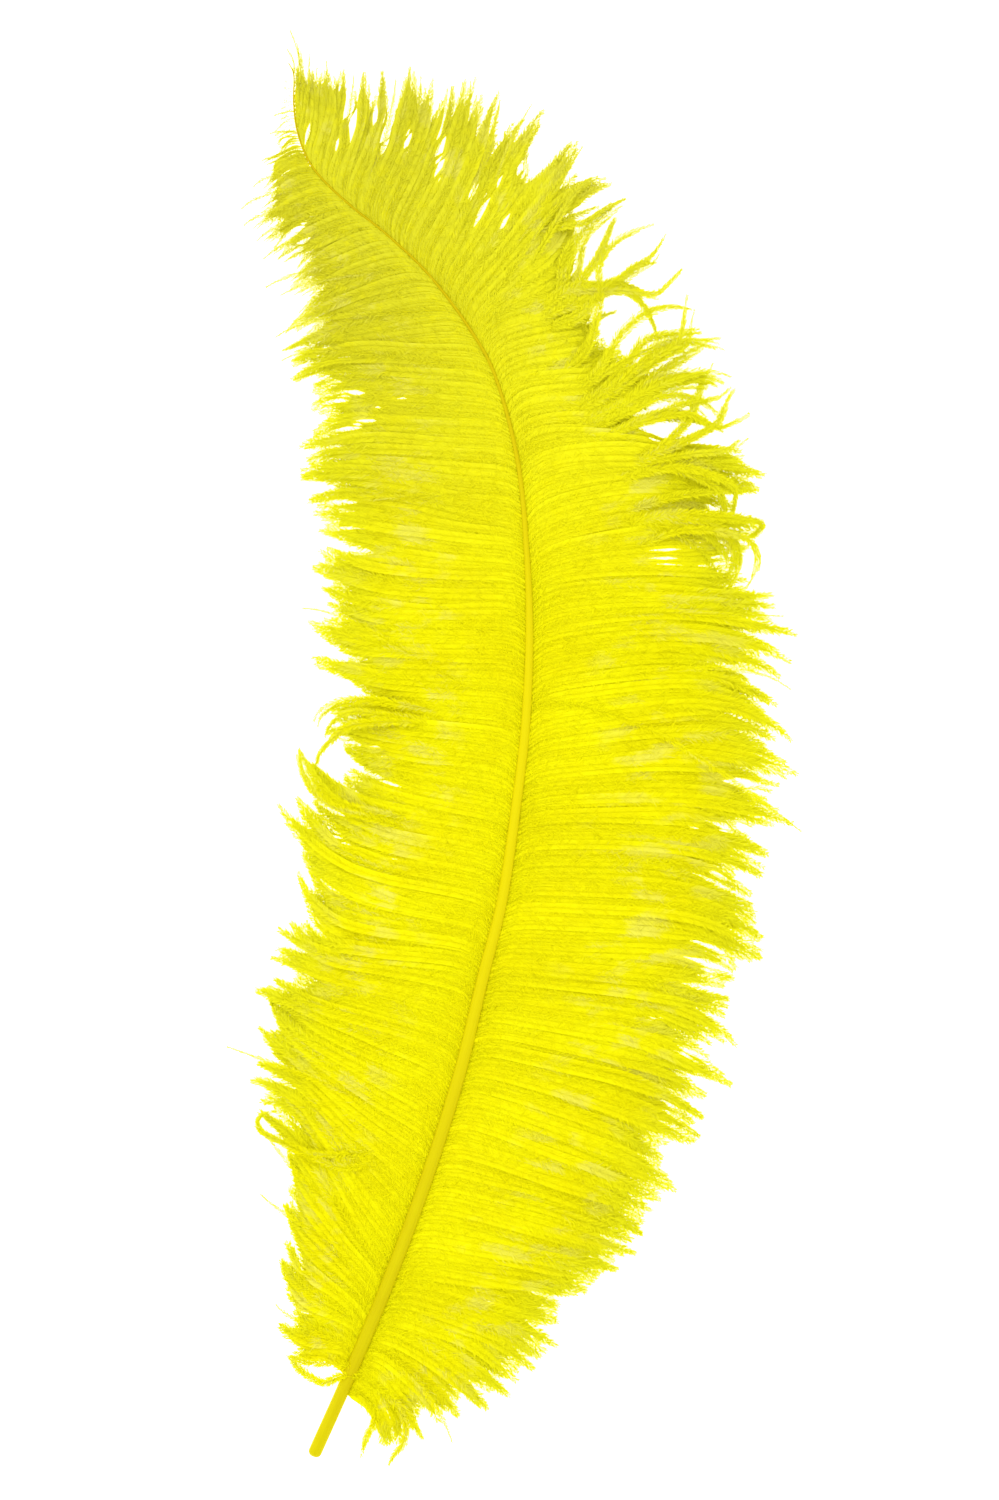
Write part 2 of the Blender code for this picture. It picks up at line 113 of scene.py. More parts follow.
# Edge of the left vane from the quill to the tip, by its points and notches: distance of the root
# along the shaft, x and y, and the way that the barbs end there in degrees
LEFT_EDGE = (
    (25, -63.2, -170.6, 158), (26.5, -57.6, -170.0, 150), (28, -61.8, -168.0, 150),
    (29.5, -65.8, -163.2, 150), (30.5, -62.2, -161.8, 135), (31.5, -60.8, -161.4, 120),
    (33, -61.4, -157.5, 112), (35, -63.8, -151.0, 110), (36, -65.0, -144.6, 112),
    (37, -62.0, -147.0, 112), (38, -64.5, -139.0, 112), (39, -60.5, -141.0, 112),
    (41, -61.2, -136.5, 112), (42.5, -63.6, -131.8, 115), (43.5, -64.2, -128.2, 118),
    (44.5, -61.5, -129.5, 112), (45.5, -63.0, -124.6, 105), (46.5, -61.2, -125.0, 105),
    (48, -61.4, -119.3, 105), (49.5, -62.8, -115.2, 105), (50.5, -64.4, -112.2, 108),
    (52, -64.5, -106.5, 125), (54, -70.5, -103.2, 158), (55, -66.0, -101.2, 168),
    (56, -62.0, -100.8, 165), (57.5, -66.0, -98.4, 172), (60, -70.6, -99.6, 205),
    (62, -69.0, -96.0, 170), (64, -68.2, -94.2, 172), (66, -74.2, -93.2, 172), (68, -69.5, -92.0, 172),
    (70, -65.2, -91.0, 165), (73, -66.0, -89.2, 165), (76, -72.0, -88.6, 170), (79, -67.2, -86.2, 150),
    (82, -69.0, -83.5, 140), (85, -71.0, -79.2, 138), (88, -68.4, -78.6, 135), (91, -66.4, -79.8, 128),
    (95, -66.8, -76.6, 118), (99, -68.4, -70.8, 110), (103, -65.0, -74.0, 118),
    (108, -66.6, -70.2, 140), (114, -71.2, -68.0, 165), (118, -68.0, -66.0, 155),
    (121, -67.2, -63.8, 140), (123, -64.5, -65.2, 140), (125, -61.6, -63.2, 150),
    (128, -63.5, -60.2, 160), (131, -68.0, -58.6, 165), (132.5, -64.2, -57.6, 160),
    (134, -67.2, -55.8, 155), (135.5, -63.8, -55.0, 150), (137, -66.2, -50.8, 145),
    (138, -63.4, -52.0, 138), (139, -62.2, -48.8, 120), (140, -60.6, -51.8, 115),
    (142, -58.6, -48.8, 110), (143.5, -56.2, -52.5, 108), (145, -58.4, -47.2, 106),
    (148, -60.5, -36.0, 104), (150, -55.4, -42.0, 108), (152, -56.6, -36.0, 110),
    (155, -59.4, -29.8, 118), (158, -58.6, -27.0, 122), (161, -61.2, -24.4, 130),
    (163, -65.8, -17.0, 128), (165, -58.6, -23.4, 122), (167, -60.8, -13.6, 112),
    (169, -55.2, -21.0, 118), (172, -55.6, -15.0, 125), (175, -58.4, -11.6, 130),
    (179, -57.6, -3.2, 128), (182, -55.0, -5.4, 130), (184, -49.0, -11.4, 135), (186, -47.2, -6.0, 140),
    (189, -43.2, -6.6, 150), (192, -42.0, -4.2, 150), (196, -46.5, -0.8, 150), (200, -48.0, 2.2, 160),
    (204, -52.0, 5.6, 185), (208, -46.0, 8.8, 178), (212, -50.0, 11.6, 180), (215, -45.0, 13.6, 172),
    (217, -42.0, 15.6, 165), (220, -45.0, 19.4, 160), (222, -50.5, 21.8, 162), (224, -55.6, 24.0, 160),
    (225.5, -56.4, 26.4, 160), (227, -50.0, 24.8, 160), (228.5, -45.8, 24.4, 160),
    (230, -48.8, 27.8, 155), (232, -51.6, 30.4, 150), (234, -55.2, 34.0, 155),
    (235.5, -57.2, 35.8, 165), (237, -52.0, 36.8, 160), (238.5, -47.6, 36.4, 160),
    (240, -50.4, 39.6, 155), (241.5, -52.4, 40.8, 155), (243, -48.6, 41.4, 150),
    (244.5, -53.2, 44.6, 150), (246.5, -52.0, 46.6, 150), (248.5, -52.4, 49.2, 155),
    (250.5, -56.6, 51.6, 168), (253, -54.0, 54.0, 150), (254.5, -54.6, 56.6, 140),
    (256, -50.0, 55.0, 150), (257.5, -46.4, 56.8, 165), (259, -49.0, 60.0, 165),
    (261, -53.8, 62.2, 175), (263, -49.0, 64.2, 178), (265, -55.6, 66.2, 182),
    (266.5, -50.0, 67.4, 178), (268, -56.4, 69.4, 190), (270, -57.4, 71.0, 200),
    (272, -51.4, 73.2, 190), (274.5, -53.4, 75.6, 182), (277, -58.8, 76.6, 190),
    (280, -59.2, 79.0, 185), (283, -55.4, 80.2, 184), (285, -52.6, 81.6, 186), (287, -57.2, 82.2, 205),
    (289, -54.2, 84.2, 190), (291.5, -60.0, 86.0, 182), (294, -56.8, 87.6, 186),
    (297, -56.4, 90.0, 200), (300, -53.0, 93.0, 200), (303, -56.6, 96.4, 205), (306, -55.2, 99.4, 205),
    (309, -57.6, 102.4, 208), (311, -54.2, 103.2, 208), (313, -58.0, 105.6, 210),
    (315, -62.0, 104.4, 212), (318, -60.4, 107.2, 208), (321, -62.6, 109.4, 205),
    (325, -59.6, 110.6, 202), (330, -62.0, 111.6, 198), (334, -64.4, 112.8, 200),
    (338, -59.0, 115.0, 208), (341, -56.4, 117.4, 212), (345, -62.8, 118.0, 215),
    (349, -61.8, 121.2, 218), (353, -58.2, 126.0, 215), (357, -63.0, 128.4, 212),
    (361, -63.6, 131.6, 212), (364, -61.6, 134.0, 208), (367, -62.8, 137.6, 208),
    (370, -66.2, 137.6, 215), (373, -68.0, 139.5, 220), (376, -67.5, 142.0, 225),
    (379, -70.5, 144.0, 225), (381, -68.0, 146.0, 225), (384, -72.5, 147.5, 225),
    (386, -69.4, 149.6, 226), (389, -71.5, 152.0, 226), (391, -68.6, 154.0, 226),
    (394, -71.0, 157.5, 225), (397, -68.0, 161.0, 215), (399, -70.5, 165.5, 210),
    (402, -66.5, 167.5, 200), (405, -67.5, 172.0, 195), (409, -66.0, 177.5, 188),
    (413, -66.2, 180.0, 178), (417, -64.6, 187.0, 150), (420, -64.4, 190.5, 150),
    (424, -62.4, 194.6, 118),
)

# Edge of the right vane, as for the left one
RIGHT_EDGE = (
    (20, -38.6, -188.0, 282), (21, -37.0, -192.0, 282), (22, -35.8, -195.7, 282),
    (23, -34.9, -190.6, 284), (24, -33.5, -194.8, 284), (25.5, -31.8, -191.6, 286),
    (27, -28.6, -191.2, 290), (28.2, -27.4, -188.0, 294), (29.2, -26.8, -185.8, 296),
    (30.5, -23.6, -185.2, 298), (31.3, -21.8, -188.0, 300), (32.2, -20.6, -185.0, 300),
    (33.6, -17.0, -186.2, 302), (34.4, -16.0, -183.4, 304), (35.5, -12.0, -182.2, 306),
    (37, -8.8, -185.2, 308), (38, -6.8, -180.0, 312), (38.8, -6.0, -178.0, 315),
    (39.6, -1.6, -182.6, 312), (40.4, -3.8, -177.0, 318), (41.4, -1.0, -176.8, 318),
    (42.4, 1.0, -177.4, 318), (44, 2.2, -171.0, 320), (44.8, 4.0, -174.0, 318),
    (45.8, 4.6, -168.6, 322), (47, 6.0, -171.8, 322), (48, 6.4, -167.4, 326), (49, 10.4, -167.2, 326),
    (50, 7.2, -162.6, 332), (51.5, 12.8, -161.8, 335), (53, 10.6, -158.4, 338), (54, 12.0, -156.0, 338),
    (55, 11.2, -153.6, 340), (57, 15.5, -153.6, 340), (59, 19.6, -153.0, 340), (62, 20.8, -150.6, 340),
    (65, 23.6, -148.4, 340), (68, 24.4, -145.4, 340), (71, 28.0, -146.0, 340), (74, 27.6, -143.0, 338),
    (76, 29.6, -142.0, 336), (78, 33.4, -141.2, 342), (80, 30.8, -139.6, 334), (83, 33.2, -136.8, 330),
    (85.5, 35.2, -135.8, 330), (87.5, 32.6, -133.4, 330), (90, 36.0, -133.2, 330),
    (92, 35.2, -131.0, 330), (94.5, 37.4, -129.6, 330), (97.5, 36.2, -126.6, 335),
    (99.5, 41.5, -126.0, 345), (101.5, 36.8, -123.6, 340), (104, 44.2, -123.4, 325),
    (106.5, 42.8, -120.2, 325), (108.5, 41.6, -117.0, 325), (110.5, 41.0, -114.4, 325),
    (112, 38.8, -112.6, 330), (114, 44.0, -111.4, 330), (116.5, 51.0, -109.2, 325),
    (119, 50.8, -105.5, 320), (120.5, 50.2, -102.4, 320), (121.5, 54.6, -103.8, 325),
    (122.5, 49.4, -100.0, 322), (124, 48.4, -97.0, 322), (125.5, 55.2, -97.6, 325),
    (127, 50.4, -94.2, 325), (128, 47.2, -91.8, 330), (129.5, 53.0, -91.6, 335),
    (131, 60.0, -93.6, 333), (132.5, 56.8, -89.2, 325), (134, 52.4, -84.6, 320),
    (135, 50.6, -82.2, 320), (136, 51.2, -79.2, 325), (137, 59.6, -84.2, 322), (138, 57.4, -80.4, 325),
    (139, 56.6, -77.2, 330), (140, 63.6, -83.8, 305), (141, 60.2, -76.6, 320),
    (142.5, 59.8, -73.0, 345), (144, 60.2, -70.6, 350), (146, 58.8, -69.0, 345),
    (148, 59.8, -66.0, 330), (150, 61.6, -64.0, 345), (151.5, 59.4, -62.6, 325),
    (153, 62.4, -61.4, 310), (155, 60.2, -55.6, 312), (157, 65.8, -59.2, 318), (159, 66.6, -57.6, 320),
    (161, 69.8, -58.2, 320), (163, 67.8, -55.0, 320), (165, 68.8, -52.6, 320), (167, 68.0, -49.0, 322),
    (169, 66.8, -46.6, 325), (171, 67.0, -43.8, 328), (172.5, 62.6, -42.4, 325),
    (174, 60.2, -39.8, 320), (175.5, 65.6, -39.6, 320), (177, 59.2, -32.8, 325),
    (179, 68.8, -35.2, 325), (180.5, 70.0, -33.2, 330), (182, 70.2, -30.6, 335),
    (183.5, 70.8, -28.8, 335), (185, 67.4, -26.6, 332), (186.5, 64.6, -24.4, 330),
    (188, 64.8, -19.6, 335), (189.5, 76.2, -20.6, 338), (191, 75.0, -18.4, 335),
    (193, 71.4, -14.8, 335), (194.5, 70.0, -12.8, 338), (196, 73.0, -9.4, 345),
    (197.5, 69.0, -8.6, 340), (199, 65.2, -4.8, 335), (201, 78.6, -7.2, 330), (203, 75.8, -3.8, 330),
    (205, 71.4, -0.4, 330), (207, 69.8, 2.4, 330), (208.5, 72.4, 3.6, 325), (210, 67.8, 6.6, 325),
    (212, 62.8, 12.4, 325), (214, 77.4, 3.6, 318), (216, 73.4, 8.0, 320), (218, 70.4, 10.4, 322),
    (219.5, 65.6, 14.6, 325), (221, 72.0, 14.0, 330), (223, 67.0, 18.2, 330), (225, 65.2, 20.6, 330),
    (226.5, 62.0, 24.0, 335), (228, 57.6, 25.2, 338), (229.5, 74.0, 21.0, 325), (231, 70.5, 25.4, 330),
    (232.2, 60.0, 30.2, 338), (233.5, 76.0, 25.6, 330), (235, 73.0, 29.2, 335),
    (236.2, 65.4, 32.8, 340), (237.5, 71.8, 33.4, 345), (239, 78.0, 33.0, 345), (241, 72.0, 36.0, 345),
    (242.5, 66.8, 38.6, 350), (244, 72.4, 40.0, 355), (245.5, 68.4, 41.4, 0), (247, 71.6, 43.6, 10),
    (248.5, 65.8, 44.6, 8), (250, 65.0, 47.5, 8), (252, 63.4, 51.0, 5), (254, 64.0, 55.0, 5),
    (256, 66.6, 57.6, 0), (258, 68.4, 61.0, 355), (260, 69.2, 63.2, 352), (262, 64.6, 64.4, 352),
    (264, 60.4, 64.8, 350), (267, 61.2, 68.0, 350), (270, 62.8, 71.6, 350), (272, 66.4, 72.4, 350),
    (275, 68.0, 73.8, 350), (278, 66.6, 76.0, 348), (280, 64.0, 77.8, 350), (282, 69.2, 77.4, 345),
    (284, 65.8, 79.4, 350), (286, 64.0, 80.8, 352), (287.5, 60.4, 81.8, 355), (289, 62.0, 84.0, 5),
    (290, 56.0, 85.0, 0), (292, 48.0, 85.0, 5), (294, 40.0, 86.2, 10), (296, 35.8, 90.2, 15),
    (298, 36.4, 95.0, 18), (300, 38.4, 99.0, 22), (302.5, 42.2, 104.0, 28), (305, 37.6, 107.0, 34),
    (308, 33.0, 109.6, 38), (310.6, 28.8, 112.6, 44), (313.6, 25.0, 114.8, 56), (318, 23.5, 121.0, 65),
    (323, 20.7, 130.2, 76), (325, 18.0, 138.0, 78), (327, 16.0, 147.5, 78), (328.5, 15.8, 152.0, 70),
    (329.5, 17.5, 156.0, 45), (330.5, 26.0, 159.6, 15), (331.3, 20.0, 158.6, 25),
    (332, 26.2, 161.6, 15), (333, 17.8, 160.6, 45), (334, 18.6, 166.6, 62), (335, 17.0, 171.2, 62),
    (336, 14.8, 169.8, 60), (337.2, 10.4, 164.5, 55), (338, 4.0, 162.5, 68), (339, 3.6, 168.0, 65),
    (340, 5.0, 172.8, 60), (341, 7.4, 177.0, 55), (342, 8.8, 180.8, 52), (343, 3.0, 177.2, 55),
    (344, 0.8, 176.0, 58), (344.6, -2.4, 166.0, 62), (345.4, 1.4, 178.2, 58), (346.2, -5.6, 168.4, 65),
    (347.5, -5.6, 176.0, 72), (349, -3.8, 184.0, 68), (350, -6.0, 183.8, 76), (351.5, -8.2, 177.0, 76),
    (352.5, -10.6, 173.2, 80), (353.5, -8.6, 185.6, 76), (354.5, -10.6, 179.0, 84),
    (355.5, -10.8, 188.4, 84), (356.8, -12.8, 185.0, 86), (358, -14.0, 190.2, 86),
    (359, -15.6, 181.0, 88), (360.5, -17.2, 186.8, 84), (362, -19.6, 185.4, 80),
    (363.5, -21.4, 180.6, 82), (364.5, -23.2, 179.8, 86), (366, -22.4, 188.4, 86),
    (367.5, -25.0, 186.0, 90), (369, -27.0, 188.0, 90), (370.5, -29.2, 190.6, 90),
    (372, -31.6, 185.4, 92), (373, -33.0, 177.0, 90), (374, -36.6, 166.0, 80),
    (374.8, -35.6, 177.0, 86), (375.8, -35.2, 187.0, 86), (377, -37.6, 189.4, 88),
    (378, -39.4, 180.0, 90), (379.5, -40.6, 186.0, 90), (381, -42.2, 190.4, 92),
    (382.5, -43.8, 187.0, 92), (384.5, -45.4, 182.0, 92), (386, -47.0, 189.6, 92),
    (388, -49.4, 191.2, 90), (390, -51.2, 188.0, 90), (392, -53.0, 192.2, 90),
    (394.5, -54.6, 190.4, 90), (396.5, -55.8, 188.2, 90), (399, -57.2, 190.8, 88),
    (403, -58.6, 188.0, 86), (407, -60.2, 191.6, 88), (411, -60.6, 189.0, 92), (416, -61.0, 191.0, 98),
)

# Single long barbs whose ends stand out of the vanes as fine hairs, given like the edges
LEFT_HAIRS = (
    (30, -67.2, -156.2, 128), (52, -71.4, -125.2, 135), (57, -71.4, -105.3, 118),
    (64, -74.2, -93.0, 172), (94, -80.9, -83.7, 165), (121, -70.3, -67.2, 160),
    (162, -59.9, -17.4, 118), (171, -60.8, -13.4, 130), (219, -59.6, 40.0, 178),
    (247, -56.8, 52.1, 175), (278, -57.7, 70.8, 175), (282, -60.2, 77.8, 185),
    (286, -57.4, 86.0, 182), (306, -62.4, 104.2, 200), (314, -65.5, 109.8, 205),
    (334, -67.2, 116.2, 212), (350, -65.8, 128.0, 205), (356, -70.0, 130.5, 205),
    (370, -70.6, 138.3, 215), (376, -72.5, 143.4, 220), (380, -76.2, 147.8, 215),
    (386, -77.0, 152.6, 215), (391, -73.6, 158.8, 222), (396, -71.1, 165.8, 215),
    (404, -68.9, 173.6, 200), (410, -67.8, 178.6, 190),
)
RIGHT_HAIRS = (
    (26, -31.1, -195.2, 280), (33, -17.4, -195.0, 285), (39, -3.1, -180.0, 310),
    (166, 68.0, -49.0, 312), (176, 66.6, -41.4, 318), (218, 81.0, -23.0, 325),
    (222, 77.8, 16.8, 322), (240, 75.9, 37.5, 0), (327, 23.8, 161.6, 20), (332, 19.3, 170.2, 62),
    (343, 5.0, 182.0, 60), (345, -3.9, 183.1, 78), (352, -12.3, 188.7, 92), (360, -17.4, 187.0, 90),
    (365, -26.0, 189.8, 92), (372, -33.3, 189.3, 88), (379, -42.0, 191.0, 95), (384, -45.4, 190.4, 92),
    (391, -52.8, 194.3, 90), (397, -55.4, 192.5, 92), (403, -57.5, 196.3, 88), (408, -60.1, 197.2, 95),
    (414, -61.2, 199.4, 100), (418, -63.2, 203.4, 104), (421, -63.9, 197.8, 112),
)

# Strands that stray from the vanes: distance of the root along the shaft, thickness from 1 to 4, and
# the points in mm that they pass through
LEFT_STRAYS = (
    (214, 2, ((-31.9, 12.6), (-42.0, 14.0), (-48.7, 13.2), (-53.8, 9.8), (-55.4, 4.5))),
    (212, 1, ((-37.5, 9.8), (-45.9, 10.6), (-51.5, 7.0), (-53.2, 3.4))),
    (210, 2, ((-38.9, 7.8), (-45.4, 7.0), (-50.1, 3.6), (-54.3, -0.6), (-55.2, -4.5))),
    (181, 2, ((-43.1, -18.2), (-51.5, -15.4), (-56.6, -11.2), (-59.9, -5.6), (-60.8, 1.1))),
    (184, 1, ((-37.5, -17.4), (-45.9, -15.7), (-51.5, -12.6), (-57.1, -5.6), (-61.0, 0.8))),
    (27, 2, ((-44.5, -176.4), (-48.7, -176.1), (-53.8, -177.8), (-59.9, -174.4), (-63.8, -170.2))),
    (29, 1, ((-47.3, -173.0), (-51.5, -172.2), (-58.5, -171.9), (-63.6, -170.2))),
    (89, 2, ((-51.5, -116.2), (-63.8, -110.6), (-70.6, -107.2), (-72.2, -104.7), (-70.6, -102.2),
             (-65.0, -101.4))),
    (90, 1, ((-59.9, -112.0), (-66.9, -109.2), (-74.5, -106.7))),
    (300, 1, ((-25.8, 98.6), (-33.6, 101.6), (-42.8, 103.0), (-52.1, 106.1), (-59.6, 112.8))),
)
RIGHT_STRAYS = (
    (326, 2, ((12.9, 149.8), (16.2, 155.4), (19.9, 159.0), (23.2, 161.6))),
    (324, 4, ((13.4, 130.2), (14.0, 136.6), (17.4, 142.8), (24.1, 149.5), (31.6, 155.1))),
    (321, 3, ((17.1, 128.2), (19.3, 131.9), (24.1, 138.9), (27.2, 146.7), (29.7, 152.3))),
    (322, 1, ((16.2, 128.8), (17.9, 132.7), (19.3, 139.7), (22.4, 145.9))),
    (319, 3, ((19.9, 129.9), (27.2, 129.6), (32.5, 133.6), (38.1, 137.5), (40.3, 140.6))),
    (318, 3, ((19.9, 129.9), (27.2, 130.5), (35.0, 128.0), (40.3, 126.6))),
    (311, 1, ((19.3, 112.0), (21.0, 114.8), (23.2, 121.0), (30.2, 124.0))),
    (298, 4, ((29.7, 99.4), (34.2, 104.7), (38.6, 109.2), (44.8, 111.7), (52.1, 112.0))),
    (296, 4, ((32.5, 98.0), (37.5, 102.5), (43.1, 106.4), (49.3, 110.3), (54.6, 114.2))),
    (292, 4, ((24.1, 90.2), (29.4, 93.0), (34.2, 97.2), (40.3, 102.2), (48.2, 104.7), (59.4, 102.2))),
    (287, 4, ((25.8, 86.8), (30.8, 89.6), (37.2, 92.7), (43.4, 93.5), (51.2, 92.7), (58.5, 88.8))),
    (308, 1, ((21.3, 113.4), (24.1, 126.0), (23.5, 134.4), (26.0, 140.0), (31.1, 144.2),
              (39.5, 147.6))),
    (348, 2, ((15.7, 147.0), (19.9, 147.8), (25.5, 151.8), (33.0, 156.2))),
    (352, 1, ((12.9, 147.8), (18.5, 150.6), (24.1, 152.9))),
    (322, 2, ((21.3, 123.2), (25.5, 130.2), (29.7, 131.6), (33.9, 135.5), (38.1, 136.6), (41.7, 136.9))),
    (320, 1, ((21.3, 124.6), (29.7, 132.2), (37.5, 137.8), (40.0, 140.6), (43.4, 145.9))),
    (325, 2, ((19.9, 126.0), (24.1, 129.4), (31.1, 130.2), (36.7, 128.2), (41.7, 125.4))),
    (326, 1, ((24.1, 128.2), (32.5, 128.0), (39.5, 127.4), (42.3, 129.4), (45.6, 133.0), (48.7, 136.6))),
    (328, 2, ((21.3, 126.0), (29.7, 128.8), (35.3, 126.0), (38.1, 122.6), (39.8, 119.0), (40.9, 113.4))),
    (301, 2, ((24.1, 106.4), (27.7, 112.0), (30.2, 116.2), (35.3, 121.0), (39.5, 123.2), (45.1, 124.6),
              (54.3, 122.9))),
    (296, 1, ((28.3, 102.2), (38.1, 109.2), (45.4, 113.4), (47.0, 117.6), (47.9, 124.6), (49.0, 129.1))),
    (294, 1, ((29.7, 101.4), (40.9, 109.2), (47.6, 113.1), (49.3, 117.6), (51.0, 123.8))),
    (298, 2, ((26.9, 102.2), (32.5, 109.2), (35.3, 113.4), (39.5, 115.6), (46.5, 116.8), (58.2, 117.6))),
    (297, 1, ((35.3, 110.6), (43.7, 114.5), (52.1, 114.8), (58.8, 115.9))),
    (295, 2, ((29.7, 102.2), (36.7, 109.2), (40.9, 112.0), (49.3, 114.0), (56.3, 113.1), (62.7, 110.9))),
    (291, 4, ((34.0, 99.0), (40.9, 103.4), (48.0, 104.6), (55.0, 104.6), (60.6, 103.2))),
    (290, 4, ((34.0, 97.4), (41.0, 101.0), (48.0, 102.6), (55.0, 102.8), (59.8, 101.6))),
    (289, 1, ((46.5, 103.6), (52.1, 105.3), (54.3, 105.8), (56.0, 109.2))),
    (287, 3, ((33.0, 94.8), (40.0, 98.2), (45.5, 98.9), (50.0, 97.8), (54.0, 96.0), (56.5, 93.4))),
    (283, 4, ((31.0, 90.0), (38.6, 93.4), (46.0, 93.8), (51.0, 92.4), (55.0, 90.6), (58.6, 89.2))),
    (279, 3, ((42.3, 85.4), (47.6, 91.0), (50.4, 96.6), (52.1, 102.2), (53.2, 105.8))),
    (277, 3, ((49.3, 86.8), (56.8, 91.0), (59.6, 98.0), (61.9, 101.4))),
    (276, 2, ((40.0, 84.4), (47.0, 86.4), (53.0, 89.0), (57.0, 91.0))),
    (284, 1, ((43.7, 95.2), (49.3, 97.4), (56.3, 98.6), (61.9, 101.9))),
    (283, 1, ((40.9, 92.4), (49.3, 93.8), (56.3, 90.2), (61.9, 91.8), (66.4, 94.6))),
    (276, 2, ((49.3, 82.6), (59.1, 84.0), (63.3, 86.8), (66.4, 88.8))),
    (272, 2, ((46.5, 79.8), (56.3, 81.2), (66.9, 82.3))),
    (270, 2, ((52.1, 79.8), (63.3, 79.8), (69.4, 77.3))),
    (262, 2, ((54.9, 72.2), (64.7, 72.5), (68.3, 73.6))),
    (257, 4, ((46.0, 65.6), (57.0, 65.0), (69.4, 63.4), (67.6, 60.2), (65.6, 58.0))),
    (250, 2, ((56.3, 60.8), (65.2, 58.6), (68.0, 54.2), (67.6, 50.0), (65.6, 45.2))),
    (20, 2, ((-42.6, -181.4), (-39.4, -184.8), (-39.2, -189.0), (-41.4, -193.2), (-43.1, -199.1))),
    (25, 2, ((-35.5, -181.0), (-31.5, -187.0), (-30.4, -191.5), (-31.2, -195.4), (-33.4, -198.4),
             (-36.1, -203.0))),
    (28, 1, ((-36.1, -180.6), (-31.4, -184.2), (-28.3, -189.0), (-24.6, -196.3))),
    (261, 4, ((44.0, 63.6), (53.0, 62.6), (60.0, 59.0), (62.6, 54.0), (61.6, 49.4), (59.0, 46.0))),
    (262, 3, ((48.0, 64.6), (57.0, 62.8), (62.4, 58.0), (63.2, 53.0), (61.8, 48.0))),
    (259, 4, ((42.0, 62.6), (50.0, 61.4), (56.6, 57.6), (59.6, 52.4), (58.2, 47.6))),
    (257, 3, ((38.0, 61.6), (45.0, 60.0), (51.4, 56.0), (55.6, 51.0), (56.6, 47.0))),
    (254, 3, ((35.0, 61.6), (41.0, 60.4), (46.6, 57.0), (50.4, 52.4), (52.6, 48.6))),
    (272, 3, ((53.0, 75.0), (57.4, 72.0), (58.9, 68.0), (59.4, 64.0), (59.6, 60.0))),
    (270, 3, ((55.0, 76.4), (61.0, 73.4), (61.6, 69.4), (60.8, 65.4), (60.0, 61.4))),
)

# Where the barbs part and the surface below shows: x, y, way in degrees, half length and half width
PARTINGS = (
    (57.0, 56.5, 56, 4, 0.9), (53.8, 67.3, 30, 2.4, 1.2), (64.4, 51.0, 86, 3.6, 1.0),
    (48, 88.4, 30, 4, 1.8), (40, 87.5, 25, 3.5, 1.4), (63.5, -9.2, 335, 5, 1.5),
    (58.3, -21.7, 315, 3.5, 1.3), (63, -21.0, 285, 3, 0.7), (56.5, -35.0, 335, 3, 1.4),
    (53.7, -16.5, 350, 1.5, 0.6), (50, -21.7, 350, 3, 0.7), (56.5, -29.6, 320, 1.2, 0.5),
    (50.8, -53.2, 305, 3, 0.7), (57.4, -57.0, 300, 4, 0.7), (53.8, -62.0, 300, 3, 1.2),
    (39.5, -75.0, 355, 4, 1.0), (47.8, -84.5, 310, 3, 0.6), (42.5, -99.0, 300, 3, 0.6),
    (-46, 178.0, 88, 5.5, 1.5), (-29.8, 171.0, 84, 4.5, 1.2), (-20.8, 166.5, 86, 8, 1.4),
    (-38.7, 177.5, 82, 3, 1.1), (-4, 159.8, 70, 2, 1.1), (-11.6, 156.0, 68, 4.5, 1.1),
    (-9, 151.5, 68, 6, 1.1), (1.7, 162.4, 80, 2, 1.6), (-2.8, 146.8, 72, 4, 1.1),
    (13.8, 149.8, 70, 2.6, 1.2), (-57.8, 173.0, 75, 3, 0.8), (-49.8, 169.8, 80, 2.5, 0.8),
    (-36.2, 172.0, 83, 7, 1.3),
    (-43, 10.0, 90, 1.5, 0.9), (-46.2, 3.2, 330, 1.8, 0.9), (-38, 0.2, 305, 4, 0.9),
    (-34.5, -9.4, 338, 6, 0.8), (-47.8, -25.8, 312, 5, 1.2), (-51, -38.5, 300, 3, 0.8),
    (-49.8, -17.0, 340, 4, 0.6), (-33.5, -30.4, 345, 3, 0.6), (-45.5, 99.5, 22, 5.5, 1.2),
    (-44, 91.0, 18, 7, 1.1), (-37.5, 96.0, 12, 3, 0.7), (-31.5, 98.2, 12, 3, 0.7),
    (-52, 113.0, 35, 2, 0.9), (-53.5, 110.8, 30, 1, 0.6), (-47.5, 110.0, 5, 3, 0.6),
    (-50.2, 108.0, 20, 1.2, 0.6), (-48.5, 103.8, 15, 2.5, 0.9), (-60, 146.8, 40, 6, 0.9),
    (-58.6, 142.8, 35, 2.5, 0.7), (-47.5, 69.8, 330, 3.2, 1.1), (-49, 85.5, 0, 2.5, 0.7),
    (-61, -128.5, 105, 3, 0.7), (-59.5, -145.5, 108, 4, 0.7), (-57.8, -158.5, 115, 1.5, 0.6),
)

# Where the vane is thin and pale, given like the partings
THIN_PLACES = (
    (42.0, 54.0, 4, 5.5, 2.8), (50.6, 57.8, 30, 2.5, 1.8), (48.4, 71.6, 4, 4.5, 0.9),
    (47.0, 62.6, 6, 5.0, 0.7), (58.4, 53.6, 50, 3.0, 1.2), (37.0, 92.6, 20, 4.0, 1.6),
    (45.6, 91.0, 50, 3.0, 1.6), (54.6, 97.0, 60, 2.0, 1.6), (38.4, 111.6, 45, 4.0, 1.2),
)


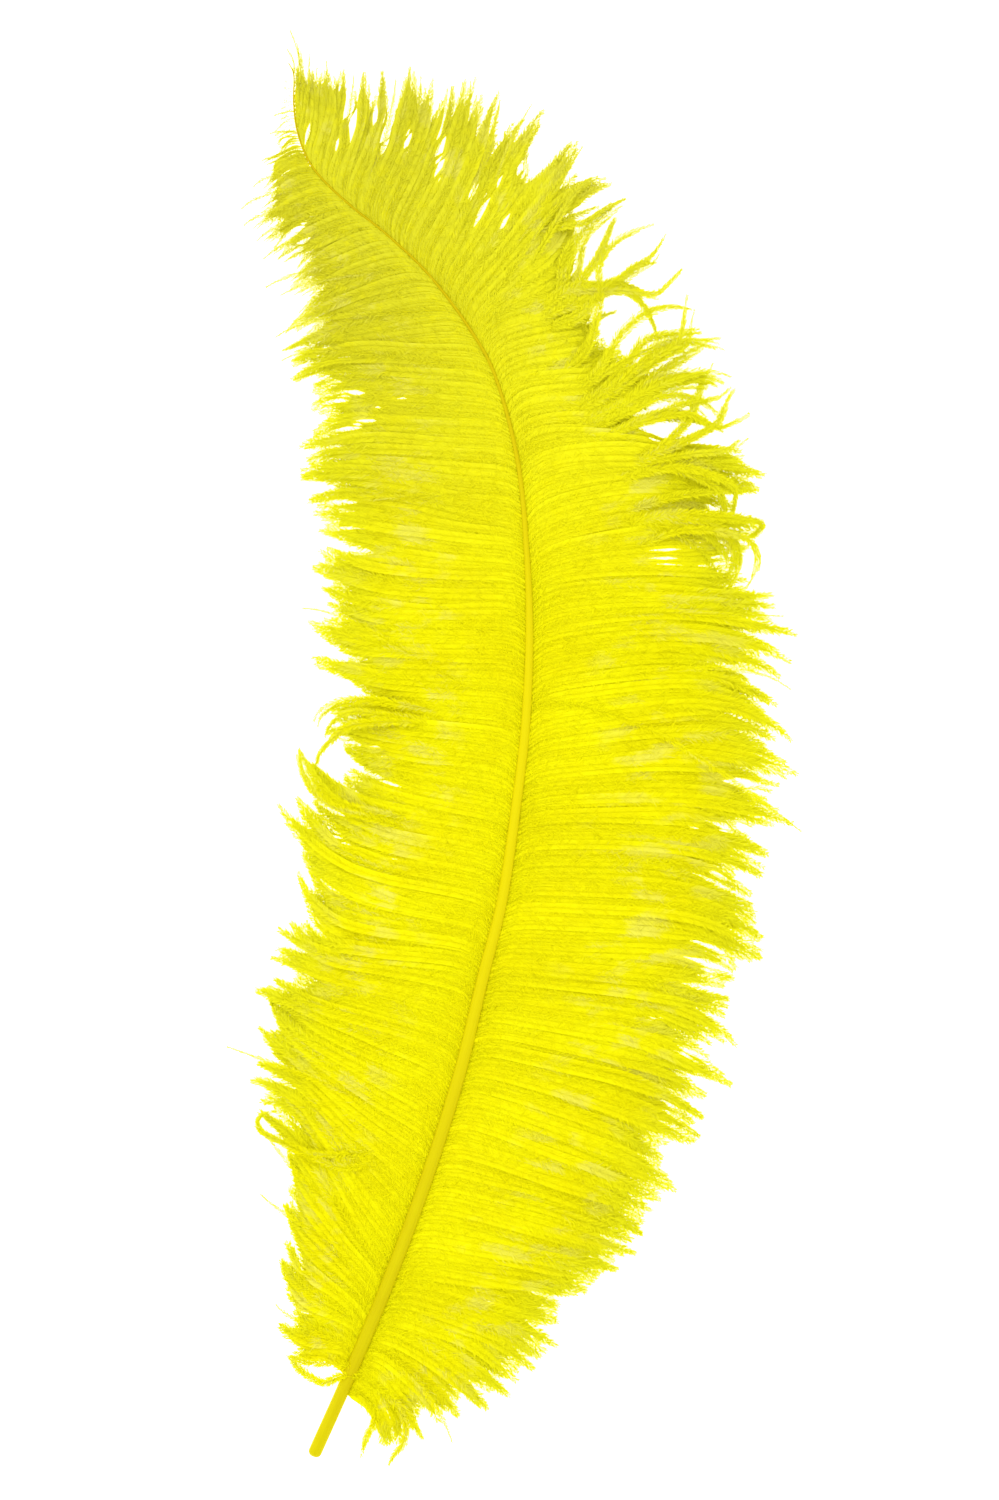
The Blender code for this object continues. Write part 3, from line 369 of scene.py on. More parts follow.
def smooth(low: float, high: float, value: np.ndarray) -> np.ndarray:
    """A smooth step from 0 at low to 1 at high.

    Args:
        low: where the step begins.
        high: where the step ends.
        value: the values to read.

    Returns:
        The step at each value.
    """
    share = np.clip((value - low) / (high - low), 0.0, 1.0)
    return share * share * (3.0 - 2.0 * share)


def risen(least: float, reach: tuple, value: np.ndarray) -> np.ndarray:
    """A smooth rise from the least value to 1 within the reach."""
    return least + (1.0 - least) * smooth(*reach, value)


def ended(along: np.ndarray, fine: np.ndarray, plain: tuple, more: tuple) -> np.ndarray:
    """How far a barb's end has begun, earlier and over a longer way where ends are fine.

    Args:
        along: places along the barbs.
        fine: how fine each barb's end is.
        plain: where a plain end begins and how long it takes.
        more: how much earlier a fine end begins and how much longer it takes.

    Returns:
        The share from 0 to 1 at each place.
    """
    begin, length = plain
    earlier, longer = more
    return smooth(0.0, 1.0, (along - begin + earlier * fine) / (length + longer * fine))


def unit(vectors: np.ndarray) -> np.ndarray:
    """The same vectors, each of length 1."""
    return vectors / np.maximum(np.linalg.norm(vectors, axis=-1, keepdims=True), TINY)


def moves(lines: np.ndarray) -> np.ndarray:
    """The length of each step of each line."""
    return np.linalg.norm(np.diff(lines, axis=1), axis=2)


def distances(lines: np.ndarray) -> np.ndarray:
    """How far along its line each point lies."""
    return np.pad(np.cumsum(moves(lines), axis=1), ((0, 0), (1, 0)))


def leftward(flat: np.ndarray) -> np.ndarray:
    """Flat unit vectors to the left of each line at each of its points."""
    forward = unit(np.gradient(flat, axis=1))
    return np.stack([-forward[..., 1], forward[..., 0]], axis=-1)


def table_at(place: np.ndarray, table: tuple) -> np.ndarray:
    """The value at each place of a table of places and values."""
    return np.interp(place, *zip(*table))


def smooth_line(rows: np.ndarray, steps: int) -> np.ndarray:
    """A smooth line through rows of values, as short steps.

    Args:
        rows: the points that the line passes through.
        steps: steps between two of them.

    Returns:
        The fine line, with the last point at its end.
    """
    last = len(rows) - 1
    share = (np.arange(steps) / steps)[:, None]
    parts = []
    for index in range(last):
        before, start, end, after = (rows[min(max(index + step, 0), last)] for step in (-1, 0, 1, 2))
        bend = 2 * before - 5 * start + 4 * end - after + share * (3 * start - before - 3 * end + after)
        parts.append(start + 0.5 * share * (end - before + share * bend))
    return np.vstack([*parts, rows[-1:]])


def bezier(corners: np.ndarray, share: np.ndarray) -> np.ndarray:
    """Cubic curves.

    Args:
        corners: the four control points of each curve, as (4, curves, values).
        share: places along the curves from 0 to 1.

    Returns:
        The curves' points, as (curves, places, values).
    """
    rest = 1.0 - share
    weights = np.stack([rest**3, 3 * rest**2 * share, 3 * rest * share**2, share**3])
    return np.einsum("kt,kmc->mtc", weights, corners)


def headings(angles: np.ndarray) -> np.ndarray:
    """Flat unit vectors that point along these angles."""
    return np.stack([np.cos(angles), np.sin(angles)], axis=-1)


class Side(Enum):
    """The two sides of the shaft, from above with the quill at the bottom."""

    LEFT = 1
    RIGHT = -1


@dataclass(frozen=True)
class ShaftLine:
    """The shaft's middle line in short steps."""

    distance: np.ndarray
    place: np.ndarray
    half: np.ndarray
    heading: np.ndarray

    @classmethod
    def through(cls, rows: tuple, steps: int = 12) -> ShaftLine:
        """The line through rows of x, y, z and half width.

        Args:
            rows: the given points.
            steps: steps between two of them.

        Returns:
            The fine line.
        """
        fine = smooth_line(np.array(rows, float), steps)
        change = np.diff(fine[:, :2], axis=0)
        distance = np.concatenate([[0.0], np.cumsum(np.hypot(change[:, 0], change[:, 1]))])
        slope = np.gradient(fine[:, :2], distance, axis=0)
        return cls(distance, fine[:, :3], fine[:, 3], np.unwrap(np.arctan2(slope[:, 1], slope[:, 0])))

    @property
    def length(self) -> float:
        """The shaft's length in mm."""
        return float(self.distance[-1])

    def at(self, distance: np.ndarray) -> np.ndarray:
        """Places on the middle line at these distances."""
        return np.stack([np.interp(distance, self.distance, row) for row in self.place.T], axis=-1)

    def half_at(self, distance: np.ndarray) -> np.ndarray:
        """The half width at these distances."""
        return np.interp(distance, self.distance, self.half)

    def heading_at(self, distance: np.ndarray) -> np.ndarray:
        """The way that the shaft runs at these distances."""
        return np.interp(distance, self.distance, self.heading)


@dataclass
class Growth:
    """Points, faces and point values of one piece while it grows."""

    points: list = field(default_factory=list)
    faces: list = field(default_factory=list)
    along: list = field(default_factory=list)
    shade: list = field(default_factory=list)
    spots: list = field(default_factory=list)
    stems: list = field(default_factory=list)
    count: int = 0

    def add(
        self,
        points: np.ndarray,
        faces: list,
        along: np.ndarray,
        shade: np.ndarray,
        spots: np.ndarray,
        stem: float = 0.0,
    ) -> None:
        """Adds points in mm with their faces.

        Args:
            points: the places, one row each.
            faces: arrays of corners, each array with one number of corners.
            along: each point's share of its strand's length.
            shade: each point's own shade from 0 to 1.
            spots: each point's place on the flat map.
            stem: 1 for a barb's own stem.
        """
        self.points.append(points)
        self.stems.append(np.full(len(points), stem))
        self.faces.extend(rows + self.count for rows in faces)
        self.along.append(along)
        self.shade.append(shade)
        self.spots.append(spots)
        self.count += len(points)

    def make(self, name: str, material: bpy.types.Material) -> bpy.types.Object:
        """Makes the piece's object.

        Args:
            name: the piece's name.
            material: its finish.

        Returns:
            The object, in metres.
        """
        points = np.vstack(self.points).astype(np.float32)
        points[:, 2] = np.maximum(points[:, 2], LEAST_HEIGHT)
        corners = np.concatenate([rows.ravel() for rows in self.faces]).astype(np.int32)
        totals = np.concatenate([np.full(len(rows), rows.shape[1]) for rows in self.faces])
        starts = np.concatenate([[0], np.cumsum(totals)[:-1]]).astype(np.int32)
        mesh = bpy.data.meshes.new(name)
        mesh.vertices.add(len(points))
        mesh.vertices.foreach_set("co", (points * MM).ravel())
        mesh.loops.add(len(corners))
        mesh.loops.foreach_set("vertex_index", corners)
        mesh.polygons.add(len(starts))
        mesh.polygons.foreach_set("loop_start", starts)
        mesh.update(calc_edges=True)
        for title, rows in (("along", self.along), ("shade", self.shade), ("stem", self.stems)):
            values = mesh.attributes.new(title, "FLOAT", "POINT")
            values.data.foreach_set("value", np.concatenate(rows).astype(np.float32))
        spots = np.vstack(self.spots).astype(np.float32)
        flat = mesh.uv_layers.new(name=MAP_NAME, do_init=False)
        flat.uv.foreach_set("vector", spots[corners].ravel())
        mesh.materials.append(material)
        mesh.shade_smooth()
        thing = bpy.data.objects.new(name, mesh)
        bpy.context.scene.collection.objects.link(thing)
        LOG.info("%s: %d triangles", name, int((totals - 2).sum()))
        return thing


@dataclass(frozen=True)
class Barbule:
    """Sizes in mm and angles in degrees of the fine branches of a barb."""

    gap: float = 0.25
    gap_place: tuple = (0.1, 0.9)
    half_width: float = 0.11
    least_width: float = 0.45
    width_growth: float = 0.3
    size_spread: tuple = (0.7, 1.3)
    lean_spread: float = 0.5
    root_angle: float = 50.0
    tip_angle: float = 34.0
    angle_spread: float = 12.0
    curl: float = 15.0
    rise_spread: float = 9.0
    droop: float = 0.12
    root_droop: float = 0.14
    droop_reach: tuple = (0.1, 0.45)
    end_growth: float = 0.35
    growth_reach: tuple = (0.7, 0.95)


@dataclass
class Strands:
    """Barbs as rows of evenly spaced points in mm, with how full each is at each point."""

    path: np.ndarray
    along: np.ndarray
    fur: np.ndarray
    web: np.ndarray
    core: np.ndarray
    many: np.ndarray
    shade: np.ndarray

    @classmethod
    def evened(cls, path: np.ndarray, reach: np.ndarray, shade: np.ndarray, stations: int) -> Strands:
        """Strands cut to their reach, with their points spaced evenly.

        Args:
            path: rough paths, as (barbs, points, 3).
            reach: the share of each path that its barb keeps.
            shade: each barb's own shade.
            stations: points wanted along each barb.

        Returns:
            The strands, bare.
        """
        distance = distances(path)
        wanted = np.linspace(0.0, 1.0, stations)[None, :] * (reach * distance[:, -1])[:, None]
        even = np.empty((len(path), stations, 3))
        for row in range(len(path)):
            for axis in range(3):
                even[row, :, axis] = np.interp(wanted[row], distance[row], path[row, :, axis])
        along = wanted / wanted[:, -1:]
        blank = np.zeros_like(along)
        return cls(even, along, blank, blank, blank, blank + 1.0, shade)

    def part(self, chosen: np.ndarray) -> Strands:
        """The strands that are chosen."""
        return Strands(**{title: rows[chosen] for title, rows in vars(self).items()})

    def steps(self) -> np.ndarray:
        """The distance between two points of each strand."""
        return moves(self.path).mean(axis=1)

    def frames(self) -> tuple:
        """Forward, left and up at each point.

        Returns:
            Three arrays of unit vectors.
        """
        forward = unit(np.gradient(self.path, axis=1))
        left = unit(np.stack([-forward[..., 1], forward[..., 0], np.zeros(forward.shape[:2])], axis=-1))
        return forward, left, np.cross(forward, left)

    def rows(self) -> np.ndarray:
        """The middle of each strand's row on the flat map."""
        return (np.arange(len(self.path)) + 0.5) / len(self.path)

    def grow(self, growth: Growth, barbule: Barbule, rng: np.random.Generator) -> None:
        """Adds every strand to a piece.

        Args:
            growth: the piece.
            barbule: the fine branches' sizes.
            rng: the source of the small differences.
        """
        frames = self.frames()
        self.grow_cores(growth, frames)
        self.grow_webs(growth, frames)
        self.grow_barbules(growth, frames, barbule, rng)

    def grow_cores(self, growth: Growth, frames: tuple) -> None:
        """Adds the barbs' own stems, three-sided and pointed.

        Args:
            growth: the piece.
            frames: the directions at each point.
        """
        _, left, up = frames
        count, stations = self.along.shape
        angles = np.radians(STEM_CORNERS)
        around = left[:, :, None, :] * np.cos(angles)[:, None] + up[:, :, None, :] * np.sin(angles)[:, None]
        points = self.path[:, :, None, :] + around * self.core[:, :, None, None]
        index = np.arange(count * stations * 3).reshape(count, stations, 3)
        faces = []
        for corner in range(3):
            following = (corner + 1) % 3
            quads = (
                index[:, :-1, corner],
                index[:, :-1, following],
                index[:, 1:, following],
                index[:, 1:, corner],
            )
            faces.append(np.stack(quads, axis=-1).reshape(-1, 4))
        faces.append(index[:, 0, ::-1])
        faces.append(index[:, -1, :])
        self.place(growth, points, faces, np.array(STEM_ACROSS) / count)

    def grow_webs(self, growth: Growth, frames: tuple) -> None:
        """Adds the soft felt of barbules below each stem.

        Args:
            growth: the piece.
            frames: the directions at each point.
        """
        _, left, up = frames
        count, stations = self.along.shape
        sides = np.array([-1.0, 1.0])
        points = self.path[:, :, None, :] + left[:, :, None, :] * (self.web[:, :, None] * sides)[..., None]
        points -= up[:, :, None, :] * FELT_DROP
        index = np.arange(count * stations * 2).reshape(count, stations, 2)
        quads = (index[:, :-1, 0], index[:, 1:, 0], index[:, 1:, 1], index[:, :-1, 1])
        wide = self.web[:, :-1] + self.web[:, 1:] > LEAST_FELT
        faces = np.stack(quads, axis=-1)[wide]
        used = np.unique(faces)
        if not len(used):
            return
        fresh = np.zeros(count * stations * 2, int)
        fresh[used] = np.arange(len(used))
        across = np.broadcast_to(sides * FELT_ACROSS / count, (count, stations, 2)).reshape(-1)[used]
        rows = np.repeat(self.rows(), stations * 2)[used]
        along = np.repeat(self.along.reshape(-1), 2)[used]
        growth.add(
            points.reshape(-1, 3)[used],
            [fresh[faces]],
            along,
            np.repeat(self.shade, stations * 2)[used],
            np.stack([MAP_EDGE + MAP_SPAN * along, rows + across], axis=-1),
        )

    def place(self, growth: Growth, points: np.ndarray, faces: list, across: np.ndarray) -> None:
        """Adds rings of points with their values.

        Args:
            growth: the piece.
            points: as (barbs, stations, ring, 3).
            faces: arrays of corners.
            across: where each point of a ring lies across its row of the map.
        """
        count, stations, ring = points.shape[:3]
        along = np.repeat(self.along.reshape(-1), ring)
        rows = np.repeat(self.rows(), stations * ring) + np.tile(across, count * stations)
        growth.add(
            points.reshape(-1, 3),
            faces,
            along,
            np.repeat(self.shade, stations * ring),
            np.stack([MAP_EDGE + MAP_SPAN * along, rows], axis=-1),
            stem=1.0,
        )

    def grow_barbules(
        self, growth: Growth, frames: tuple, barbule: Barbule, rng: np.random.Generator
    ) -> None:
        """Adds the fine branches on both sides of each stem.

        Args:
            growth: the piece.
            frames: the directions at each point.
            barbule: their sizes.
            rng: the source of the small differences.
        """
        steps = self.steps()
        stations = self.along.shape[1]
        numbers = (steps * (stations - 1) / barbule.gap * 2).astype(int)
        which = np.repeat(np.arange(len(numbers)), numbers)
        order = np.arange(len(which)) - np.repeat(np.cumsum(numbers) - numbers, numbers)
        distance = (order + rng.uniform(*barbule.gap_place, len(order))) * barbule.gap / 2
        station = distance / steps[which]
        low = np.minimum(station.astype(int), stations - 2)
        share = np.minimum(station - low, 1.0)

        def read(values: np.ndarray) -> np.ndarray:
            """Values between two points of the strands."""
            weight = share.reshape(-1, *([1] * (values.ndim - 2)))
            return values[which, low] * (1 - weight) + values[which, low + 1] * weight

        fur = read(self.fur)
        keep = (fur > LEAST_FUR) & (rng.uniform(0.0, 1.0, len(fur)) < read(self.many))
        which, order, low, share, fur = which[keep], order[keep], low[keep], share[keep], fur[keep]
        count = len(which)
        root, forward, left, up = (read(values) for values in (self.path, *frames))
        along = read(self.along)
        side = np.where(order % 2, 1.0, -1.0)
        spread = rng.normal(0.0, barbule.angle_spread, (2, count))
        angle = barbule.root_angle + (barbule.tip_angle - barbule.root_angle) * along + spread[0]
        rise = np.radians(rng.normal(0.0, barbule.rise_spread, (2, count)))
        rise[0] -= barbule.root_droop * (1.0 - smooth(*barbule.droop_reach, along))
        length = fur * rng.uniform(*barbule.size_spread, count) / 2

        def way(degrees: np.ndarray, tilt: np.ndarray) -> np.ndarray:
            """Unit vectors at an angle to the stem.

            Args:
                degrees: the angle to the stem.
                tilt: how far they are raised, in radians.

            Returns:
                One vector for each branch.
            """
            turn = np.radians(degrees)
            outward = left * (side * np.cos(tilt))[:, None] + up * np.sin(tilt)[:, None]
            return forward * np.cos(turn)[:, None] + outward * np.sin(turn)[:, None]

        first = way(angle, rise[0])
        second = way(angle - barbule.curl + spread[1], rise[0] + rise[1] - barbule.droop)
        middle = root + first * length[:, None]
        tip = middle + second * length[:, None]
        lean = up + barbule.lean_spread * rng.normal(0.0, 1.0, (count, 3))
        grown = np.minimum(1.0, barbule.least_width + barbule.width_growth * fur)
        half = barbule.half_width * rng.uniform(*barbule.size_spread, count) * grown
        half *= 1.0 + barbule.end_growth * smooth(*barbule.growth_reach, along)
        broad = unit(np.cross(first + second, lean)) * half[:, None]
        points = np.stack([root, middle + broad, tip, middle - broad], axis=1)
        across = np.array(BARBULE_ACROSS) / len(self.path)
        spots = np.empty((count, 4, 2))
        spots[..., 0] = MAP_EDGE + MAP_SPAN * along[:, None] + np.array(BARBULE_ALONG)
        spots[..., 1] = self.rows()[which][:, None] + side[:, None] * across
        growth.add(
            points.reshape(-1, 3),
            [np.arange(count * 4).reshape(count, 4)],
            np.repeat(along, 4),
            np.repeat(self.shade[which], 4),
            np.clip(spots.reshape(-1, 2), 0.0, 1.0),
        )


@dataclass(frozen=True)
class Habit:
    """How barbs bend, gather and differ: sizes in mm, places as shares of a barb's length."""

    places: int = 24
    stations: int = 17
    start_pull: float = 0.34
    end_pull: float = 0.26
    root_inset: float = 0.7
    root_rise: float = 0.1
    root_drop: float = 0.12
    settle: tuple = (0.6, 0.97)
    past_rows: tuple = (-0.4, 1.4)
    gather: float = 0.3
    gather_spread: float = 0.12
    most_gather: float = 0.8
    gather_reach: tuple = (0.68, 1.0)
    barb_wander: tuple = (0.1, 0.6)
    group_wander: tuple = (0.1, 0.7)
    waves: tuple = (0.5, 1.6)
    wave_power: float = 1.3
    group_sizes: tuple = (1, 4)
    together: tuple = (0.0, 0.7)
    together_reach: tuple = (0.65, 0.97)
    crossing: float = 0.55
    crossing_place: tuple = (0.45, 0.75)
    crossing_length: float = 0.2
    notch: float = 0.5
    notch_power: float = 1.5
    group_short: tuple = (-0.6, 1.2)
    barb_short: tuple = (-0.4, 1.2)
    most_short: float = 0.25
    fan: tuple = (1.0, 3.2)
    root_step: float = 0.1
    root_spread: float = 0.25
    bow: float = 3.4
    bow_length: float = 3.0
    full_bow_at: float = 30.0
    bow_power: float = 1.5
    loft: float = 2.2
    loft_spread: float = 0.11
    full_loft_at: float = 40.0
    fall_power: float = 2.2
    least_lift: float = 0.5
    group_lift: tuple = (0.0, 1.6)
    barb_lift: tuple = (0.0, 0.5)


@dataclass(frozen=True)
class Fullness:
    """How full barbs are: sizes in mm, places as shares of a barb's length."""

    spread: tuple = (0.85, 1.15)
    fur: float = 2.6
    root_fur: float = 0.55
    rise_reach: tuple = (0.0, 0.1)
    ending: tuple = (0.86, 0.14)
    fine_ending: tuple = (0.22, 0.2)
    end_loss: tuple = (0.5, 0.34)
    open_loss: float = 0.85
    felt: tuple = (0.78, 0.6)
    felt_rise: tuple = (0.0, 0.15)
    felt_end: tuple = (0.78, 0.17)
    fine_felt_end: tuple = (0.2, 0.08)
    felt_where_full: tuple = (0.2, 0.7)
    stem: tuple = (0.125, 0.07)
    stem_extra: float = 0.2
    inner_many: float = 0.5
    many_reach: tuple = (0.5, 0.75)


@dataclass(frozen=True)
class StrayHabit:
    """How stray strands and long hairs are: sizes in mm, places as shares of their length."""

    inner_places: int = 12
    line_steps: int = 6
    places: int = 40
    stations: int = 30
    end_pull: float = 0.3
    extra_barbs: int = 2
    apart: float = 0.17
    apart_growth: tuple = (0.4, 0.8)
    fall_power: float = 1.5
    lift: tuple = (2.0, 4.2)
    loft: float = 1.2
    reach: tuple = (0.88, 1.0)
    thickness: tuple = (0.75, 1.1)
    fur: float = 2.0
    root_fur: float = 0.3
    rise_reach: tuple = (0.0, 0.12)
    end_loss: float = 0.55
    end_reach: tuple = (0.75, 1.0)
    stem: tuple = (0.17, 0.1)
    inner_many: float = 0.2
    free_reach: tuple = (-0.08, 0.02)
    hair_wander: tuple = (0.0, 0.3)
    hair_fur: float = 1.5
    least_hair: float = 0.35
    hair_end_loss: float = 0.6
    hair_end_reach: tuple = (0.75, 0.97)
    hair_stem: tuple = (0.15, 0.06)


@dataclass
class Vane:
    """One vane: barbs that leave the shaft evenly and gather into points at their ends."""

    line: ShaftLine
    side: Side
    edge: tuple
    leave: tuple
    hairs: tuple
    strays: tuple
    seed: int
    first: float
    last: float
    gap: float
    fullness: tuple
    fine_ends: tuple
    overreach: float
    sharpness: float = 0.45
    cuts: tuple = (0.0, 110.0, 215.0, 320.0)
    cut_names: tuple = ("base", "lower", "upper", "tip")
    stray_cut: float = 289.5
    habit: Habit = Habit()
    full: Fullness = Fullness()
    stray: StrayHabit = StrayHabit()
    barbule: Barbule = Barbule()

    def leave_angle(self, root: np.ndarray) -> np.ndarray:
        """The angle in the plane at which barbs leave the shaft."""
        return self.line.heading_at(root) + self.side.value * np.radians(table_at(root, self.leave))

    def root_places(self, root: np.ndarray) -> np.ndarray:
        """Where barbs start, just inside the shaft's side.

        Args:
            root: distances along the shaft.

        Returns:
            A place in mm for each distance.
        """
        habit = self.habit
        place = self.line.at(root)
        across = headings(self.line.heading_at(root) + self.side.value * math.pi / 2)
        half = self.line.half_at(root)[:, None]
        place[:, :2] += habit.root_inset * half * across
        place[:, 2] += habit.root_rise * half[:, 0] - habit.root_drop
        return place

    def middle_lines(self, rows: tuple, share: np.ndarray) -> np.ndarray:
        """The line from the shaft to each row of an edge, or along each hair.

        Args:
            rows: the edge or the hairs.
            share: places along the lines from 0 to 1.

        Returns:
            Flat points as (rows, places, 2).
        """
        table = np.array(rows, float)
        root = table[:, 0]
        start = self.root_places(root)[:, :2]
        end = table[:, 1:3]
        reach = np.linalg.norm(end - start, axis=1, keepdims=True)
        first = start + self.habit.start_pull * reach * headings(self.leave_angle(root))
        second = end - self.habit.end_pull * reach * headings(np.radians(table[:, 3]))
        return bezier(np.stack([start, first, second, end]), share)

    def wander(
        self, flat: np.ndarray, size: np.ndarray, share: np.ndarray, rng: np.random.Generator
    ) -> np.ndarray:
        """Moves lines sideways in soft waves that grow outwards.

        Args:
            flat: flat points as (lines, places, 2).
            size: how far each line moves at its end, in mm.
            share: places along the lines.
            rng: the source of the waves.

        Returns:
            The moved points.
        """
        waves = rng.uniform(*self.habit.waves, (len(flat), 1))
        starts = rng.uniform(0.0, 2 * math.pi, (len(flat), 1))
        move = size[:, None] * np.sin(2 * math.pi * waves * share + starts) * share**self.habit.wave_power
        return flat + leftward(flat) * move[..., None]

    def crossed(self, flat: np.ndarray, share: np.ndarray, rng: np.random.Generator) -> np.ndarray:
        """Lets some barbs cross their neighbours halfway along.

        Args:
            flat: flat points as (barbs, places, 2).
            share: places along the barbs.
            rng: the source of the bends.

        Returns:
            The moved points.
        """
        habit = self.habit
        size = rng.normal(0.0, habit.crossing, (len(flat), 1))
        middle = rng.uniform(*habit.crossing_place, (len(flat), 1))
        bend = np.exp(-(((share - middle) / habit.crossing_length) ** 2))
        move = size * bend * smooth(0.0, habit.crossing_length, share)
        return flat + leftward(flat) * move[..., None]

    def gathered(
        self,
        flat: np.ndarray,
        lines: np.ndarray,
        nearest: np.ndarray,
        share: np.ndarray,
        rng: np.random.Generator,
    ) -> np.ndarray:
        """Pulls barbs towards the nearest point of the edge.

        Args:
            flat: flat points as (barbs, places, 2).
            lines: the lines to the edge's rows.
            nearest: the row that each barb is pulled to.
            share: places along the barbs.
            rng: the source of the small differences.

        Returns:
            The moved points.
        """
        habit = self.habit
        pull = habit.gather + rng.normal(0.0, habit.gather_spread, len(lines))
        pull = np.clip(pull, 0.0, habit.most_gather)[nearest]
        pull = pull[:, None] * smooth(*habit.gather_reach, share)
        return flat + (lines[nearest] - flat) * pull[..., None]

    def grouped(
        self, flat: np.ndarray, group: np.ndarray, share: np.ndarray, rng: np.random.Generator
    ) -> np.ndarray:
        """Lets barbs wander and draws the barbs of a small group together.

        Args:
            flat: flat points as (barbs, places, 2).
            group: the small group of each barb.
            share: places along the barbs.
            rng: the source of the small differences.

        Returns:
            The moved points.
        """
        habit = self.habit
        groups = group[-1] + 1
        flat = self.wander(flat, rng.uniform(*habit.barb_wander, len(flat)), share, rng)
        mean = np.stack([flat[group == number].mean(axis=0) for number in range(groups)])
        mean = self.wander(mean, rng.uniform(*habit.group_wander, groups), share, rng)
        together = rng.uniform(*habit.together, groups)[group][:, None]
        pull = together * smooth(*habit.together_reach, share)
        return flat + (mean[group] - flat) * pull[..., None]

    def barbs(self, rng: np.random.Generator) -> tuple:
        """All barbs of the vane.

        Args:
            rng: the source of the small differences.

        Returns:
            The strands and the distance of each root along the shaft.
        """
        habit = self.habit
        share = np.linspace(0.0, 1.0, habit.places)
        edge = np.array(self.edge, float)
        rows = edge[:, 0]
        lines = self.middle_lines(sharpened(self.edge, self.sharpness, self.overreach), share)
        even_lines = self.middle_lines(softened(self.edge), share)
        lines = even_lines + (lines - even_lines) * smooth(*habit.settle, share)[:, None]
        roots = self.root_distances(rows, even_lines[:, -1], rng)
        low = np.clip(np.searchsorted(rows, roots) - 1, 0, len(rows) - 2)
        between = np.clip((roots - rows[low]) / (rows[low + 1] - rows[low]), *habit.past_rows)
        flat = lines[low] * (1 - between)[:, None, None] + lines[low + 1] * between[:, None, None]
        standing = standing_out(edge)
        upper = standing[low + 1] > standing[low]
        off_point = np.clip(np.abs(between - upper), 0.0, 1.0)
        flat = self.gathered(flat, lines, low + upper, share, rng)
        group = self.small_groups(len(roots), rng)
        flat = self.grouped(flat, group, share, rng)
        flat = self.rooted(flat, roots, share)
        flat = parted(self.crossed(flat, share, rng))
        short = habit.notch * off_point**habit.notch_power
        short = short + rng.uniform(*habit.group_short, group[-1] + 1)[group]
        short = (short + rng.uniform(*habit.barb_short, len(roots))) / moves(flat).sum(axis=1)
        path = self.raised(flat, roots, group, share, rng)
        reach = 1.0 - np.clip(short, 0.0, habit.most_short)
        strands = Strands.evened(path, reach, rng.uniform(0.0, 1.0, len(roots)), habit.stations)
        self.fill(strands, roots, rng)
        return strands, roots

    def root_distances(self, rows: np.ndarray, ends: np.ndarray, rng: np.random.Generator) -> np.ndarray:
        """Where barbs start along the shaft: closer together where the vane fans out.

        Args:
            rows: the roots of the edge's rows.
            ends: the ends of the softened rows, as flat points.
            rng: the source of the small differences.

        Returns:
            The distances.
        """
        habit = self.habit
        rim = np.linalg.norm(np.diff(ends, axis=0), axis=1)
        fan = np.clip(rim / np.diff(rows), *habit.fan)
        fine = np.arange(self.first, self.last, habit.root_step)
        count = np.cumsum(np.interp(fine, (rows[1:] + rows[:-1]) / 2, fan)) * habit.root_step / self.gap
        roots = np.interp(np.arange(0.5, count[-1], 1.0), count, fine)
        return roots + rng.uniform(-habit.root_spread, habit.root_spread, len(roots)) * self.gap

    def small_groups(self, count: int, rng: np.random.Generator) -> np.ndarray:
        """The group of each barb, as neighbours stick together towards their ends."""
        return np.repeat(np.arange(count), rng.integers(*self.habit.group_sizes, count))[:count]

    def rooted(self, flat: np.ndarray, roots: np.ndarray, share: np.ndarray) -> np.ndarray:
        """Puts the first point of each barb on the shaft and bows its first millimetres to the tip.

        Args:
            flat: flat points as (barbs, places, 2).
            roots: distances along the shaft.
            share: places along the barbs.

        Returns:
            The moved points.
        """
        habit = self.habit
        start = self.root_places(roots)[:, :2]
        flat = flat + (start - flat[:, 0])[:, None, :] * ((1 - share) ** 2)[:, None]
        distance = distances(flat)
        size = habit.bow * np.minimum(1.0, distance[:, -1:] / habit.full_bow_at)
        bow = size * (1 - np.exp(-distance / habit.bow_length))
        forward = headings(self.line.heading_at(roots))
        return flat + forward[:, None, :] * (bow * (1 - share) ** habit.bow_power)[..., None]

    def raised(
        self,
        flat: np.ndarray,
        roots: np.ndarray,
        group: np.ndarray,
        share: np.ndarray,
        rng: np.random.Generator,
    ) -> np.ndarray:
        """Gives the barbs their height: down from the shaft to the surface in a low arch.

        Args:
            flat: flat points as (barbs, places, 2).
            roots: distances along the shaft.
            group: the small group of each barb.
            share: places along the barbs.
            rng: the source of the small differences.

        Returns:
            Points as (barbs, places, 3).
        """
        habit = self.habit
        start = self.root_places(roots)[:, 2]
        lift = habit.least_lift + rng.uniform(*habit.group_lift, group[-1] + 1)[group]
        lift = lift + rng.uniform(*habit.barb_lift, len(roots))
        arch = habit.loft * np.minimum(1.0, moves(flat).sum(axis=1) / habit.full_loft_at)
        arch = arch + rng.normal(0.0, habit.loft_spread, len(roots))
        height = start[:, None] * (1 - share**habit.fall_power) + lift[:, None] * share
        height += arch[:, None] * 4 * share * (1 - share)
        return np.concatenate([flat, height[..., None]], axis=2)

